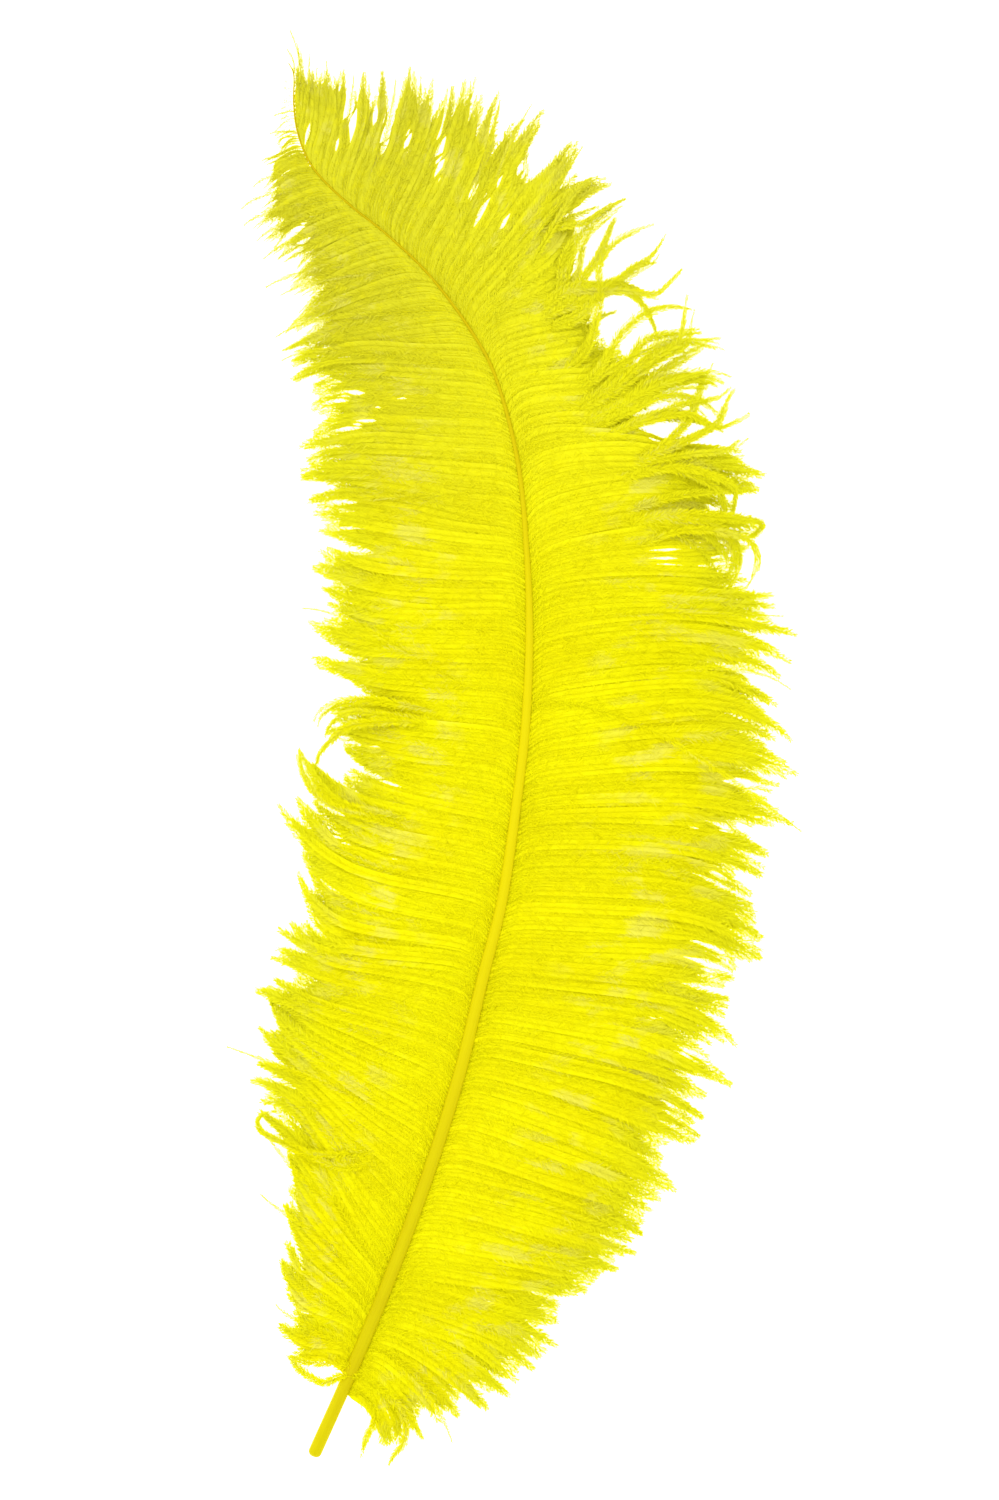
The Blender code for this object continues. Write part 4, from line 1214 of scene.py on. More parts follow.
    def fill(self, strands: Strands, roots: np.ndarray, rng: np.random.Generator) -> None:
        """Sets how full the barbs are along their length.

        Args:
            strands: the barbs.
            roots: distances along the shaft.
            rng: the source of the small differences.
        """
        rule = self.full
        along = strands.along
        full = (table_at(roots, self.fullness) * rng.uniform(*rule.spread, len(roots)))[:, None]
        fine = table_at(roots, self.fine_ends)[:, None]
        open_share = parting_share(strands.path[..., :2])
        rising = risen(rule.root_fur, rule.rise_reach, along)
        ending = ended(along, fine, rule.ending, rule.fine_ending)
        falling = 1.0 - (rule.end_loss[0] + rule.end_loss[1] * fine) * ending
        strands.fur = rule.fur * full * rising * falling * (1.0 - rule.open_loss * open_share)
        felt = rule.felt[0] + rule.felt[1] * smooth(*rule.felt_rise, along)
        closed = 1.0 - ended(along, fine, rule.felt_end, rule.fine_felt_end)
        strands.web = felt * closed * smooth(*rule.felt_where_full, full) * (1.0 - open_share)
        strands.core = (rule.stem[0] - rule.stem[1] * along) * np.minimum(1.0, full + rule.stem_extra)
        strands.many = risen(rule.inner_many, rule.many_reach, along)

    def stray_line(self, root: float, outer: np.ndarray) -> tuple:
        """The line of a stray strand, from the shaft to its free end.

        Args:
            root: the distance of its root along the shaft.
            outer: the points that it passes through.

        Returns:
            Flat points, and the share of them that lies before the first point.
        """
        rule = self.stray
        distance = np.array([float(root)])
        start = self.root_places(distance)[0, :2]
        reach = np.linalg.norm(outer[0] - start)
        first = start + self.habit.start_pull * reach * headings(self.leave_angle(distance))[0]
        second = outer[0] - rule.end_pull * reach * unit(outer[1] - outer[0])
        corners = np.stack([start, first, second, outer[0]])[:, None, :]
        inner = bezier(corners, np.linspace(0.0, 1.0, rule.inner_places))[0]
        flat = np.vstack([inner[:-1], smooth_line(outer, rule.line_steps)])
        wanted = np.linspace(0.0, 1.0, rule.places)
        places = np.linspace(0.0, 1.0, len(flat))
        even = np.stack([np.interp(wanted, places, row) for row in flat.T], axis=-1)
        return even, len(inner) / len(places)

    def stray_strands(self, rows: tuple, rng: np.random.Generator) -> Strands:
        """The strands that leave the vane's outline.

        Args:
            rows: the strands to make.
            rng: the source of the small differences.

        Returns:
            The strands.
        """
        rule = self.stray
        paths, reaches, thick, free = [], [], [], []
        steps = np.linspace(0.0, 1.0, rule.places)
        widening = rule.apart_growth[0] + rule.apart_growth[1] * steps[:, None]
        for root, thickness, points in rows:
            place = self.root_places(np.array([float(root)]))[0]
            flat, inner_share = self.stray_line(root, np.array(points, float))
            for _ in range(thickness + rule.extra_barbs):
                apart = rng.normal(0.0, rule.apart * thickness, 2) * widening
                size = rng.uniform(*self.habit.barb_wander, 1)
                line = self.wander((flat + apart)[None], size, steps, rng)[0]
                line[0] = place[:2]
                height = place[2] * (1 - steps**rule.fall_power) + rng.uniform(*rule.lift) * steps
                height += rule.loft * 4 * steps * (1 - steps)
                paths.append(np.column_stack([line, height]))
                reaches.append(rng.uniform(*rule.reach))
                thick.append(rng.uniform(*rule.thickness))
                free.append(inner_share)
        shades = rng.uniform(0, 1, len(paths))
        strands = Strands.evened(np.stack(paths), np.array(reaches), shades, rule.stations)
        along = strands.along
        full = np.array(thick)[:, None]
        rising = risen(rule.root_fur, rule.rise_reach, along)
        strands.fur = rule.fur * full * (rising * (1.0 - rule.end_loss * smooth(*rule.end_reach, along)))
        strands.core = (rule.stem[0] - rule.stem[1] * along) * full
        past = along - np.array(free)[:, None]
        strands.many = risen(rule.inner_many, rule.free_reach, past)
        return strands

    def hair_strands(self, rng: np.random.Generator) -> Strands:
        """The single long barbs whose ends stand out.

        Args:
            rng: the source of the small differences.

        Returns:
            The strands.
        """
        rule = self.stray
        share = np.linspace(0.0, 1.0, rule.places)
        roots = np.array([row[0] for row in self.hairs], float)
        flat = self.rooted(self.middle_lines(self.hairs, share), roots, share)
        flat = self.wander(flat, rng.uniform(*rule.hair_wander, len(roots)), share, rng)
        path = self.raised(flat, roots, np.arange(len(roots)), share, rng)
        shades = rng.uniform(0, 1, len(roots))
        strands = Strands.evened(path, np.ones(len(roots)), shades, rule.stations)
        along = strands.along
        full = table_at(roots, self.fullness)[:, None]
        full = rule.least_hair + (1.0 - rule.least_hair) * full
        rising = risen(rule.root_fur, rule.rise_reach, along)
        falling = 1.0 - rule.hair_end_loss * smooth(*rule.hair_end_reach, along)
        strands.fur = rule.hair_fur * full * (rising * falling)
        strands.core = rule.hair_stem[0] - rule.hair_stem[1] * along
        return strands

    def build(self, material: bpy.types.Material) -> list:
        """Builds the vane's pieces.

        Args:
            material: the barbs' finish.

        Returns:
            The pieces, from the quill to the tip, with the hairs and the stray strands last.
        """
        rng = np.random.default_rng(self.seed)
        strands, roots = self.barbs(rng)
        side = self.side.name.lower()
        pieces = []
        for low, high, name in zip(self.cuts, (*self.cuts[1:], math.inf), self.cut_names):
            growth = Growth()
            strands.part((roots >= low) & (roots < high)).grow(growth, self.barbule, rng)
            pieces.append(growth.make(f"{side}_vane_{name}", material))
        low_rows = tuple(row for row in self.strays if row[0] < self.stray_cut)
        high_rows = tuple(row for row in self.strays if row[0] >= self.stray_cut)
        for strands, name in (
            (self.hair_strands(rng), "long_hairs"),
            (self.stray_strands(low_rows, rng), "lower_strays"),
            (self.stray_strands(high_rows, rng), "upper_strays"),
        ):
            growth = Growth()
            strands.grow(growth, self.barbule, rng)
            pieces.append(growth.make(f"{side}_{name}", material))
        return pieces


def softened(rows: tuple, reach: int = 4) -> np.ndarray:
    """Edge rows without their points and notches.

    Args:
        rows: the rows of a vane's edge.
        reach: how many rows on each side count.

    Returns:
        As many rows, with the same roots.
    """
    table = np.array(rows, float)
    table[:, 3] = np.degrees(np.unwrap(np.radians(table[:, 3])))
    weights = np.hanning(2 * reach + 3)[1:-1]
    for column in (1, 2, 3):
        padded = np.pad(table[:, column], reach, mode="edge")
        table[:, column] = np.convolve(padded, weights / weights.sum(), mode="valid")
    return table


def standing_out(table: np.ndarray) -> np.ndarray:
    """How far each edge row stands out from the middle of its two neighbours, in mm."""
    ends = np.pad(table[:, 1:3], ((1, 1), (0, 0)), mode="edge")
    return ((table[:, 1:3] - (ends[:-2] + ends[2:]) / 2) * headings(np.radians(table[:, 3]))).sum(axis=1)


def sharpened(
    rows: tuple, sharpness: float, overreach: float, least: float = -1.5, most: float = 2.0
) -> np.ndarray:
    """Edge rows with their points further out and their notches further in.

    Args:
        rows: the rows of a vane's edge.
        sharpness: the share by which a point stands out further from its neighbours.
        overreach: how much further all rows reach, in mm.
        least: the furthest that a notch goes in, in mm.
        most: the furthest that a point goes out, in mm.

    Returns:
        As many rows, with the same roots.
    """
    table = np.array(rows, float)
    further = np.clip(sharpness * standing_out(table), least, most) + overreach
    table[:, 1:3] += headings(np.radians(table[:, 3])) * further[:, None]
    return table


def beside(flat: np.ndarray, x: float, y: float, way: float) -> tuple:
    """Where places lie as seen from the middle of a parting.

    Args:
        flat: flat points.
        x: the middle's place to the right.
        y: the middle's place to the tip.
        way: the way that the parting runs, in degrees.

    Returns:
        How far ahead and how far to the left each point lies, and the unit vector to the left.
    """
    ahead = headings(np.radians(float(way)))
    left = np.array([-ahead[1], ahead[0]])
    offset = flat - np.array([x, y])
    return offset @ ahead, offset @ left, left


def parting_share(flat: np.ndarray) -> np.ndarray:
    """How far each place lies inside a parting or a thin place, from 0 to 1.

    Args:
        flat: flat points.

    Returns:
        The share at each point.
    """
    most = np.zeros(flat.shape[:-1])
    for rows, depth in ((PARTINGS, 1.0), (THIN_PLACES, THIN_SHARE)):
        for x, y, way, half_length, half_width in rows:
            run, across, _ = beside(flat, x, y, way)
            away = -((run / half_length) ** 2) - (across / (half_width + FADE_WIDTH)) ** 2
            most = np.maximum(most, depth * np.exp(away))
    return most


def parted(flat: np.ndarray, core_share: float = 0.3, reach_share: float = 2.0) -> np.ndarray:
    """Moves barbs apart where they part.

    Args:
        flat: flat points as (barbs, places, 2).
        core_share: the share of the half width within which barbs jump to one side.
        reach_share: how many half widths to the side barbs still move.

    Returns:
        The moved points.
    """
    for x, y, way, half_length, half_width in PARTINGS:
        run, across, left = beside(flat, x, y, way)
        inside = np.exp(-((run / half_length) ** 2))
        near = np.exp(-((across / (reach_share * half_width)) ** 2))
        move = np.tanh(across / (core_share * half_width)) * half_width * inside * near
        flat = flat + move[..., None] * left
    return flat


@dataclass
class Shaft:
    """The horny shaft, round at the quill and fine as a hair at its tip."""

    line: ShaftLine
    ring_gap: float = 1.6
    corners: int = 20
    height_share: float = 0.92
    end_rounding: tuple = ((0.0, 0.5), (0.25, 0.72), (0.6, 0.9), (1.2, 1.0))
    end_gap: float = 1.0
    groove_angle: float = 58.0
    groove_width: float = 13.0
    groove_depth: float = 0.09

    def profile(self) -> np.ndarray:
        """The cross-section's points: across and up, for a half width of 1.

        Returns:
            Points from the left side over the top to the right side and below.
        """
        angle = np.linspace(0.0, 2 * math.pi, self.corners, endpoint=False)
        groove = np.exp(-(((np.degrees(angle) - self.groove_angle) / self.groove_width) ** 2))
        groove += np.exp(-(((np.degrees(angle) - 180 + self.groove_angle) / self.groove_width) ** 2))
        radius = 1.0 - self.groove_depth * groove
        return np.stack([radius * np.cos(angle), self.height_share * radius * np.sin(angle)], axis=-1)

    def build(self, material: bpy.types.Material) -> bpy.types.Object:
        """Builds the shaft.

        Args:
            material: the horn's finish.

        Returns:
            The piece.
        """
        line = self.line
        rings = [place for place, _ in self.end_rounding]
        rings += list(np.arange(self.ring_gap + self.end_gap, line.length, self.ring_gap))
        rings = np.array([*rings, line.length])
        half = line.half_at(rings) * table_at(rings, self.end_rounding)
        middle = line.at(rings)
        side = headings(line.heading_at(rings) + math.pi / 2)
        profile = self.profile()
        points = np.repeat(middle[:, None, :], self.corners, axis=1)
        points[..., :2] += side[:, None, :] * (profile[:, 0] * half[:, None])[..., None]
        points[..., 2] += profile[:, 1] * half[:, None]
        index = np.arange(len(rings) * self.corners).reshape(len(rings), self.corners)
        following = np.roll(index, -1, axis=1)
        quads = np.stack([index[:-1], following[:-1], following[1:], index[1:]], axis=-1).reshape(-1, 4)
        along = np.repeat(rings / line.length, self.corners)
        around = np.tile(np.arange(self.corners) / self.corners, len(rings))
        spots = np.stack([MAP_EDGE + MAP_SPAN * along, MAP_EDGE + MAP_SPAN * around], axis=-1)
        faces = [quads, index[0][None, ::-1], index[-1][None, :]]
        growth = Growth()
        growth.add(points.reshape(-1, 3), faces, along, around, spots)
        return growth.make("shaft", material)


def put(
    tree: bpy.types.NodeTree, kind: str, values: dict | None = None, **settings: object
) -> bpy.types.Node:
    """Adds a node to a tree.

    Args:
        tree: the tree.
        kind: the node's type.
        values: numbers and colours to set, or sockets to join, by input.
        settings: the node's own settings.

    Returns:
        The node.
    """
    node = tree.nodes.new(kind)
    for name, value in settings.items():
        setattr(node, name, value)
    for name, value in (values or {}).items():
        if isinstance(value, bpy.types.NodeSocket):
            tree.links.new(value, node.inputs[name])
        else:
            node.inputs[name].default_value = value
    return node


def mixed(
    tree: bpy.types.NodeTree,
    factor: float | bpy.types.NodeSocket,
    first: tuple | bpy.types.NodeSocket,
    second: tuple | bpy.types.NodeSocket,
) -> bpy.types.NodeSocket:
    """A colour between two colours.

    Args:
        tree: the tree.
        factor: the second colour's share, a number or a socket.
        first: a colour or a socket.
        second: a colour or a socket.

    Returns:
        The socket with the mix.
    """
    node = put(tree, "ShaderNodeMix", {0: factor, 6: first, 7: second}, data_type="RGBA")
    return node.outputs[2]


def ranged(
    tree: bpy.types.NodeTree,
    value: bpy.types.NodeSocket,
    low: float,
    high: float,
    start: float = 0.0,
    end: float = 1.0,
) -> bpy.types.NodeSocket:
    """A smooth step between two values.

    Args:
        tree: the tree.
        value: the socket to read.
        low: where the step begins.
        high: where the step ends.
        start: the result before the step.
        end: the result after it.

    Returns:
        The socket with the result.
    """
    values = {"Value": value, "From Min": low, "From Max": high, "To Min": start, "To Max": end}
    return put(tree, "ShaderNodeMapRange", values, interpolation_type="SMOOTHSTEP").outputs[0]


def product(
    tree: bpy.types.NodeTree, first: bpy.types.NodeSocket, second: bpy.types.NodeSocket
) -> bpy.types.NodeSocket:
    """The socket with the product of two sockets."""
    return put(tree, "ShaderNodeMath", {0: first, 1: second}, operation="MULTIPLY").outputs[0]


def group_tree(name: str, inputs: tuple, outputs: tuple) -> tuple:
    """An empty node group with named sockets.

    Args:
        name: the group's name.
        inputs: each input's name, kind and usual value.
        outputs: each output's name and kind.

    Returns:
        The tree, its input node and its output node.
    """
    tree = bpy.data.node_groups.new(name, "ShaderNodeTree")
    for title, kind, value in inputs:
        socket = tree.interface.new_socket(name=title, in_out="INPUT", socket_type=kind)
        if value is not None:
            socket.default_value = value
    for title, kind in outputs:
        tree.interface.new_socket(name=title, in_out="OUTPUT", socket_type=kind)
    return tree, tree.nodes.new("NodeGroupInput"), tree.nodes.new("NodeGroupOutput")


@dataclass(frozen=True)
class DyeBath:
    """Dye that took a little unevenly, as a node group that every dyed finish uses."""

    name: str = "uneven_dye"
    detail: float = 3.0
    patch_range: tuple = (0.34, 0.66)

    def tree(self) -> bpy.types.NodeTree:
        """Builds the group.

        Returns:
            The group's tree, which puts out a colour.
        """
        inputs = (
            ("Vector", "NodeSocketVector", None),
            ("Strand", "NodeSocketFloat", 0.5),
            ("Light", "NodeSocketColor", WHITE),
            ("Deep", "NodeSocketColor", MIDDLE_GREY),
            ("Patch Scale", "NodeSocketFloat", 60.0),
            ("Strand Share", "NodeSocketFloat", 0.5),
        )
        tree, entry, end = group_tree(self.name, inputs, (("Color", "NodeSocketColor"),))
        given = entry.outputs
        values = {"Vector": given["Vector"], "Scale": given["Patch Scale"], "Detail": self.detail}
        patch = put(tree, "ShaderNodeTexNoise", values)
        spread = ranged(tree, patch.outputs[0], *self.patch_range)
        values = {0: given["Strand Share"], 2: spread, 3: given["Strand"]}
        amount = put(tree, "ShaderNodeMix", values, data_type="FLOAT")
        colour = mixed(tree, amount.outputs[0], given["Light"], given["Deep"])
        tree.links.new(colour, end.inputs["Color"])
        return tree


@dataclass(frozen=True)
class FibreLines:
    """Fine lines that run along a strand or the shaft, as a node group."""

    name: str = "fibre_lines"
    detail: float = 2.0
    line_range: tuple = (0.3, 0.7)

    def tree(self) -> bpy.types.NodeTree:
        """Builds the group.

        Returns:
            The group's tree, which puts out a value.
        """
        inputs = (
            ("Along", "NodeSocketFloat", 0.0),
            ("Across", "NodeSocketFloat", 0.0),
            ("Length Scale", "NodeSocketFloat", 12.0),
            ("Line Scale", "NodeSocketFloat", 90.0),
        )
        tree, entry, end = group_tree(self.name, inputs, (("Lines", "NodeSocketFloat"),))
        run = product(tree, entry.outputs["Along"], entry.outputs["Length Scale"])
        side = product(tree, entry.outputs["Across"], entry.outputs["Line Scale"])
        place = put(tree, "ShaderNodeCombineXYZ", {"X": run, "Y": side})
        values = {"Vector": place.outputs[0], "Scale": 1.0, "Detail": self.detail}
        noise = put(tree, "ShaderNodeTexNoise", values)
        tree.links.new(ranged(tree, noise.outputs[0], *self.line_range), end.inputs["Lines"])
        return tree


@dataclass(frozen=True)
class Finish:
    """What the finishes of the plume share."""

    dye: bpy.types.NodeTree
    fibre: bpy.types.NodeTree
    line_height: float = 0.1

    def start(self, name: str) -> tuple:
        """A material with its shader, and the values that the mesh carries.

        Args:
            name: the material's name.

        Returns:
            The material, its tree, its shader, and the sockets along and shade.
        """
        material = bpy.data.materials.new(name)
        material.use_nodes = True
        tree = material.node_tree
        along = put(tree, "ShaderNodeAttribute", attribute_name="along").outputs["Fac"]
        shade = put(tree, "ShaderNodeAttribute", attribute_name="shade").outputs["Fac"]
        return material, tree, tree.nodes["Principled BSDF"], along, shade

    def dyed(
        self,
        tree: bpy.types.NodeTree,
        strand: bpy.types.NodeSocket,
        colours: tuple,
        scale: float,
        share: float,
    ) -> bpy.types.NodeSocket:
        """A colour from the dye bath.

        Args:
            tree: the material's tree.
            strand: the strand's own shade.
            colours: the paler and the deeper colour.
            scale: how fine the patches are.
            share: how much the strand's own shade counts.

        Returns:
            The socket with the colour.
        """
        values = {
            "Vector": put(tree, "ShaderNodeTexCoord").outputs["Object"],
            "Strand": strand,
            "Light": colours[0],
            "Deep": colours[1],
            "Patch Scale": scale,
            "Strand Share": share,
        }
        return put(tree, "ShaderNodeGroup", values, node_tree=self.dye).outputs[0]

    def lines(
        self,
        tree: bpy.types.NodeTree,
        along: bpy.types.NodeSocket,
        across: bpy.types.NodeSocket,
        scales: tuple,
    ) -> bpy.types.NodeSocket:
        """Fine lines along the strand.

        Args:
            tree: the material's tree.
            along: the place along the strand.
            across: the place across it.
            scales: how often a line changes along its way, and how many lines lie side by side.

        Returns:
            The socket with the lines' value.
        """
        values = {"Along": along, "Across": across, "Length Scale": scales[0], "Line Scale": scales[1]}
        return put(tree, "ShaderNodeGroup", values, node_tree=self.fibre).outputs[0]

    def relief(
        self, tree: bpy.types.NodeTree, lines: bpy.types.NodeSocket, strength: float
    ) -> bpy.types.NodeSocket:
        """The bent normal of fine lines that stand out a little."""
        values = {"Height": lines, "Strength": strength, "Distance": self.line_height * MM}
        return put(tree, "ShaderNodeBump", values).outputs[0]


@dataclass(frozen=True)
class DyedBarbs(Finish):
    """Soft dyed barbs: bright yellow, paler and greener towards their ends and the plume's tip; the ends
    are also darkened as painted shade, and the stems near the shaft lightened as painted light.
    """

    light: tuple = (0.955, 0.928, 0.001, 1.0)
    deep: tuple = (0.925, 0.87, 0.001, 1.0)
    # Painted shade: the barbs' ends are painted this duller, darker yellow, and darker still at the plume's
    # top, so that the thin ends look dimmer than the body.
    end: tuple = (0.86, 0.85, 0.012, 1.0)
    upper_shaded_end: tuple = (0.78, 0.755, 0.045, 1.0)
    upper_left: tuple = (0.73, 0.705, 0.03, 1.0)
    upper_right: tuple = (0.90, 0.88, 0.018, 1.0)
    # Painted light: the stems near the shaft are painted this lighter yellow, to cancel the shade that the
    # shaft casts on the barbs' roots.
    stem: tuple = (1.0, 0.94, 0.002, 1.0)
    pale: tuple = (0.86, 0.82, 0.20, 1.0)
    dye_scale: float = 55.0
    dye_strand_share: float = 0.45
    line_scales: tuple = (14.0, 310.0)
    line_colour: tuple = (0.55, 1.0, 0.0, 0.3)
    line_roughness: tuple = (0.0, 1.0, 0.55, 0.8)
    line_relief: float = 0.2
    sides_reach: tuple = (-0.04, 0.02)
    upper_reach: tuple = (0.02, 0.15, 0.0, 0.85)
    upper_end_reach: tuple = (0.1, 0.17)
    end_reach: tuple = (0.6, 1.0, 0.0, 0.9)
    painted_root_light_reach: tuple = (0.1, 0.7, 0.5, 0.0)
    patch_scales: tuple = (4.5, 30.0)
    patch_range: tuple = (0.66, 1.0, 0.0, 0.42)
    patch_start: tuple = (0.2, 0.5)
    patch_end: tuple = (0.82, 0.98, 1.0, 0.0)
    specular: float = 0.04
    see_through: float = 0.07

    def patches(self, tree: bpy.types.NodeTree, along: bpy.types.NodeSocket) -> bpy.types.NodeSocket:
        """Where the dye stayed pale, in short streaks that follow a few barbs.

        Args:
            tree: the material's tree.
            along: the place along the barb.

        Returns:
            The socket with the streaks' share.
        """
        spot = put(tree, "ShaderNodeUVMap", uv_map=MAP_NAME)
        row = put(tree, "ShaderNodeSeparateXYZ", {0: spot.outputs[0]}).outputs["Y"]
        streaks = ranged(tree, self.lines(tree, along, row, self.patch_scales), *self.patch_range)
        inner = ranged(tree, along, *self.patch_start)
        outer = ranged(tree, along, *self.patch_end)
        return product(tree, streaks, product(tree, inner, outer))

    def material(self) -> bpy.types.Material:
        """Builds the material.

        Returns:
            The material.
        """
        material, tree, shader, along, shade = self.start("dyed_barbs")
        lines = self.lines(tree, along, shade, self.line_scales)
        spot = put(tree, "ShaderNodeTexCoord").outputs["Object"]
        place = put(tree, "ShaderNodeSeparateXYZ", {0: spot}).outputs
        colour = self.dyed(tree, shade, (self.light, self.deep), self.dye_scale, self.dye_strand_share)
        upper = mixed(tree, ranged(tree, place["X"], *self.sides_reach), self.upper_left, self.upper_right)
        colour = mixed(tree, ranged(tree, place["Y"], *self.upper_reach), colour, upper)
        colour = mixed(tree, self.patches(tree, along), colour, self.pale)
        colour = mixed(tree, ranged(tree, lines, *self.line_colour), colour, self.deep)
        # Painted shade: the barbs' ends are darkened towards these colours.
        end = mixed(tree, ranged(tree, place["Y"], *self.upper_end_reach), self.end, self.upper_shaded_end)
        colour = mixed(tree, ranged(tree, along, *self.end_reach), colour, end)
        # Painted light: stems near the shaft are lightened towards the stem colour, against the shaft's
        # shade.
        stem = put(tree, "ShaderNodeAttribute", attribute_name="stem").outputs["Fac"]
        near = product(tree, stem, ranged(tree, along, *self.painted_root_light_reach))
        colour = mixed(tree, near, colour, self.stem)
        tree.links.new(colour, shader.inputs["Base Color"])
        tree.links.new(ranged(tree, lines, *self.line_roughness), shader.inputs["Roughness"])
        tree.links.new(self.relief(tree, lines, self.line_relief), shader.inputs["Normal"])
        shader.inputs["Specular IOR Level"].default_value = self.specular
        through = put(tree, "ShaderNodeBsdfTranslucent", {"Color": colour})
        values = {0: self.see_through, 1: shader.outputs[0], 2: through.outputs[0]}
        both = put(tree, "ShaderNodeMixShader", values)
        tree.links.new(both.outputs[0], tree.nodes["Material Output"].inputs["Surface"])
        return material


@dataclass(frozen=True)
class DyedHorn(Finish):
    """Smooth dyed horn: yellow at the quill, warmer in the middle and golden at the tip."""

    quill: tuple = (0.68, 0.60, 0.001, 1.0)
    quill_deep: tuple = (0.64, 0.535, 0.001, 1.0)
    middle: tuple = (0.78, 0.67, 0.001, 1.0)
    tip: tuple = (0.62, 0.49, 0.001, 1.0)
    dye_scale: float = 130.0
    dye_line_share: float = 0.6
    line_scales: tuple = (9.0, 26.0)
    line_roughness: tuple = (0.0, 1.0, 0.36, 0.55)
    line_relief: float = 0.25
    middle_reach: tuple = (0.1, 0.45)
    tip_reach: tuple = (0.52, 0.8)
    specular: float = 0.05

    def material(self) -> bpy.types.Material:
        """Builds the material.

        Returns:
            The material.
        """
        material, tree, shader, along, around = self.start("dyed_horn")
        lines = self.lines(tree, along, around, self.line_scales)
        colours = (self.quill, self.quill_deep)
        colour = self.dyed(tree, lines, colours, self.dye_scale, self.dye_line_share)
        colour = mixed(tree, ranged(tree, along, *self.middle_reach), colour, self.middle)
        colour = mixed(tree, ranged(tree, along, *self.tip_reach), colour, self.tip)
        tree.links.new(colour, shader.inputs["Base Color"])
        tree.links.new(ranged(tree, lines, *self.line_roughness), shader.inputs["Roughness"])
        tree.links.new(self.relief(tree, lines, self.line_relief), shader.inputs["Normal"])
        shader.inputs["Specular IOR Level"].default_value = self.specular
        return material


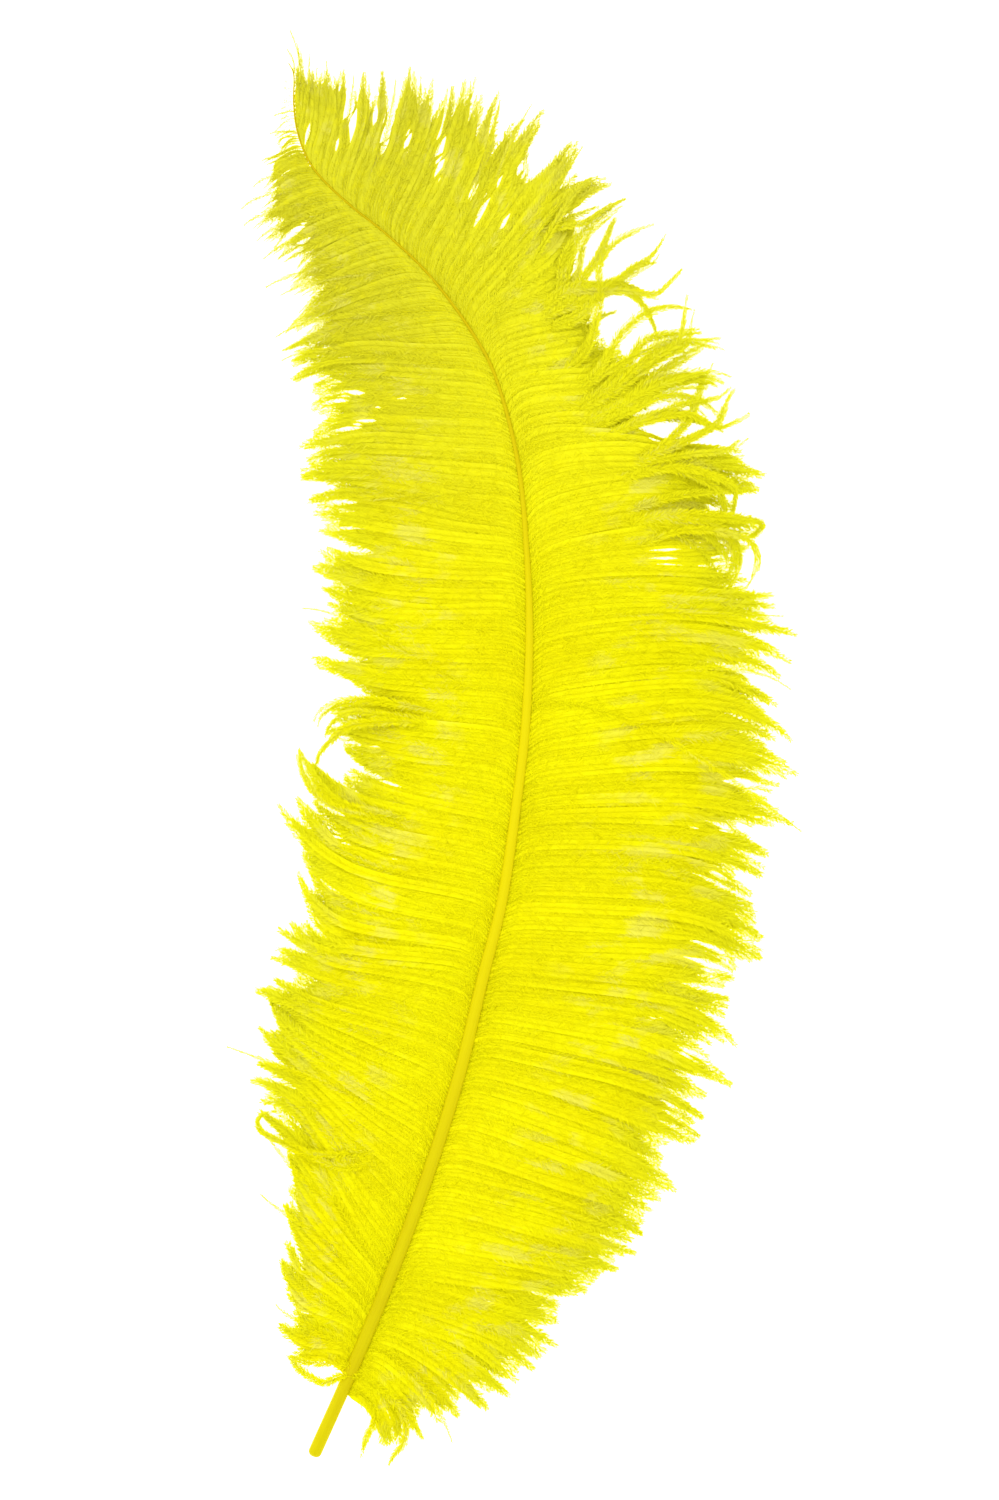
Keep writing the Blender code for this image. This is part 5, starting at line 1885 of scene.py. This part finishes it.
@dataclass
class Studio:
    """A white light table, soft light from above and a camera that looks straight down."""

    middle: tuple = (-4.1, 0.0)
    seen_height: float = 420.0
    plane_height: float = 8.0
    lens: float = 85.0
    sensor: float = 36.0
    nearest: float = 0.01
    floor_size: float = 3.0
    floor_colour: tuple = (0.9, 0.9, 0.9, 1.0)
    floor_roughness: float = 0.9
    floor_glow: float = 1.0
    sky: float = 1.06
    lamp_power: float = 4.8
    lamp_size: float = 1.2
    lamp_place: tuple = (-0.55, 0.5, 1.3)

    def floor(self) -> bpy.types.Object:
        """Makes the pale table.

        Returns:
            The table's top.
        """
        half = self.floor_size / 2
        corners = [(-half, -half, 0.0), (half, -half, 0.0), (half, half, 0.0), (-half, half, 0.0)]
        mesh = bpy.data.meshes.new("light_table")
        mesh.from_pydata(corners, [], [(0, 1, 2, 3)])
        material = bpy.data.materials.new("milky_acrylic")
        material.use_nodes = True
        tree = material.node_tree
        shader = tree.nodes["Principled BSDF"]
        shader.inputs["Base Color"].default_value = self.floor_colour
        shader.inputs["Roughness"].default_value = self.floor_roughness
        shader.inputs["Specular IOR Level"].default_value = 0.0
        shader.inputs["Emission Color"].default_value = WHITE
        shader.inputs["Emission Strength"].default_value = self.floor_glow
        mesh.materials.append(material)
        table = bpy.data.objects.new("light_table", mesh)
        bpy.context.scene.collection.objects.link(table)
        return table

    def lights(self) -> None:
        """Makes the soft lamp and the pale surroundings."""
        lamp = bpy.data.lights.new("soft_lamp", "AREA")
        lamp.energy = self.lamp_power
        lamp.size = self.lamp_size
        thing = bpy.data.objects.new("soft_lamp", lamp)
        thing.location = self.lamp_place
        x, y, z = self.lamp_place
        thing.rotation_euler = (math.atan2(math.hypot(x, y), z), 0.0, math.atan2(y, x) + math.pi / 2)
        bpy.context.scene.collection.objects.link(thing)
        world = bpy.data.worlds.new("pale_room")
        world.use_nodes = True
        backdrop = world.node_tree.nodes["Background"]
        backdrop.inputs["Color"].default_value = WHITE
        backdrop.inputs["Strength"].default_value = self.sky
        bpy.context.scene.world = world

    def camera(self) -> bpy.types.Object:
        """Makes the camera above the plume.

        Returns:
            The camera.
        """
        data = bpy.data.cameras.new("overhead")
        data.lens = self.lens
        data.sensor_fit = "VERTICAL"
        data.sensor_height = self.sensor
        data.clip_start = self.nearest
        thing = bpy.data.objects.new("overhead", data)
        away = self.seen_height * self.lens / self.sensor
        thing.location = (self.middle[0] * MM, self.middle[1] * MM, (self.plane_height + away) * MM)
        bpy.context.scene.collection.objects.link(thing)
        bpy.context.scene.camera = thing
        return thing

    def build(self) -> None:
        """Makes the whole studio and sets how its light is shown."""
        self.floor()
        self.lights()
        self.camera()
        bpy.context.scene.view_settings.view_transform = "Standard"


def attach(piece: bpy.types.Object) -> None:
    """Ties a piece to the plume's body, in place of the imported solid.

    Args:
        piece: the piece.
    """
    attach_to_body(piece, BODY)
    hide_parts(NODE)
    LOG.info("%s rides on %s", piece.name, BODY)


def main() -> None:
    """Builds the plume and its studio."""
    logging.basicConfig(level=logging.INFO, format="%(message)s")
    line = ShaftLine.through(SHAFT_POINTS)
    dye = DyeBath().tree()
    fibre = FibreLines().tree()
    barbs = DyedBarbs(dye, fibre).material()
    horn = DyedHorn(dye, fibre).material()
    left = Vane(
        line=line,
        side=Side.LEFT,
        edge=LEFT_EDGE,
        leave=LEFT_LEAVE,
        hairs=LEFT_HAIRS,
        strays=LEFT_STRAYS,
        seed=11,
        first=25.0,
        last=421.0,
        gap=1.02,
        overreach=0.3,
        fullness=LEFT_FULLNESS,
        fine_ends=LEFT_FINE_ENDS,
    )
    right = Vane(
        line=line,
        side=Side.RIGHT,
        edge=RIGHT_EDGE,
        leave=RIGHT_LEAVE,
        hairs=RIGHT_HAIRS,
        strays=RIGHT_STRAYS,
        seed=23,
        first=20.0,
        last=425.0,
        gap=1.2,
        overreach=0.8,
        fullness=RIGHT_FULLNESS,
        fine_ends=RIGHT_FINE_ENDS,
    )
    for vane in (left, right):
        for piece in vane.build(barbs):
            attach(piece)
    attach(Shaft(line).build(horn))
    Studio().build()


if __name__ == "__main__":
    main()
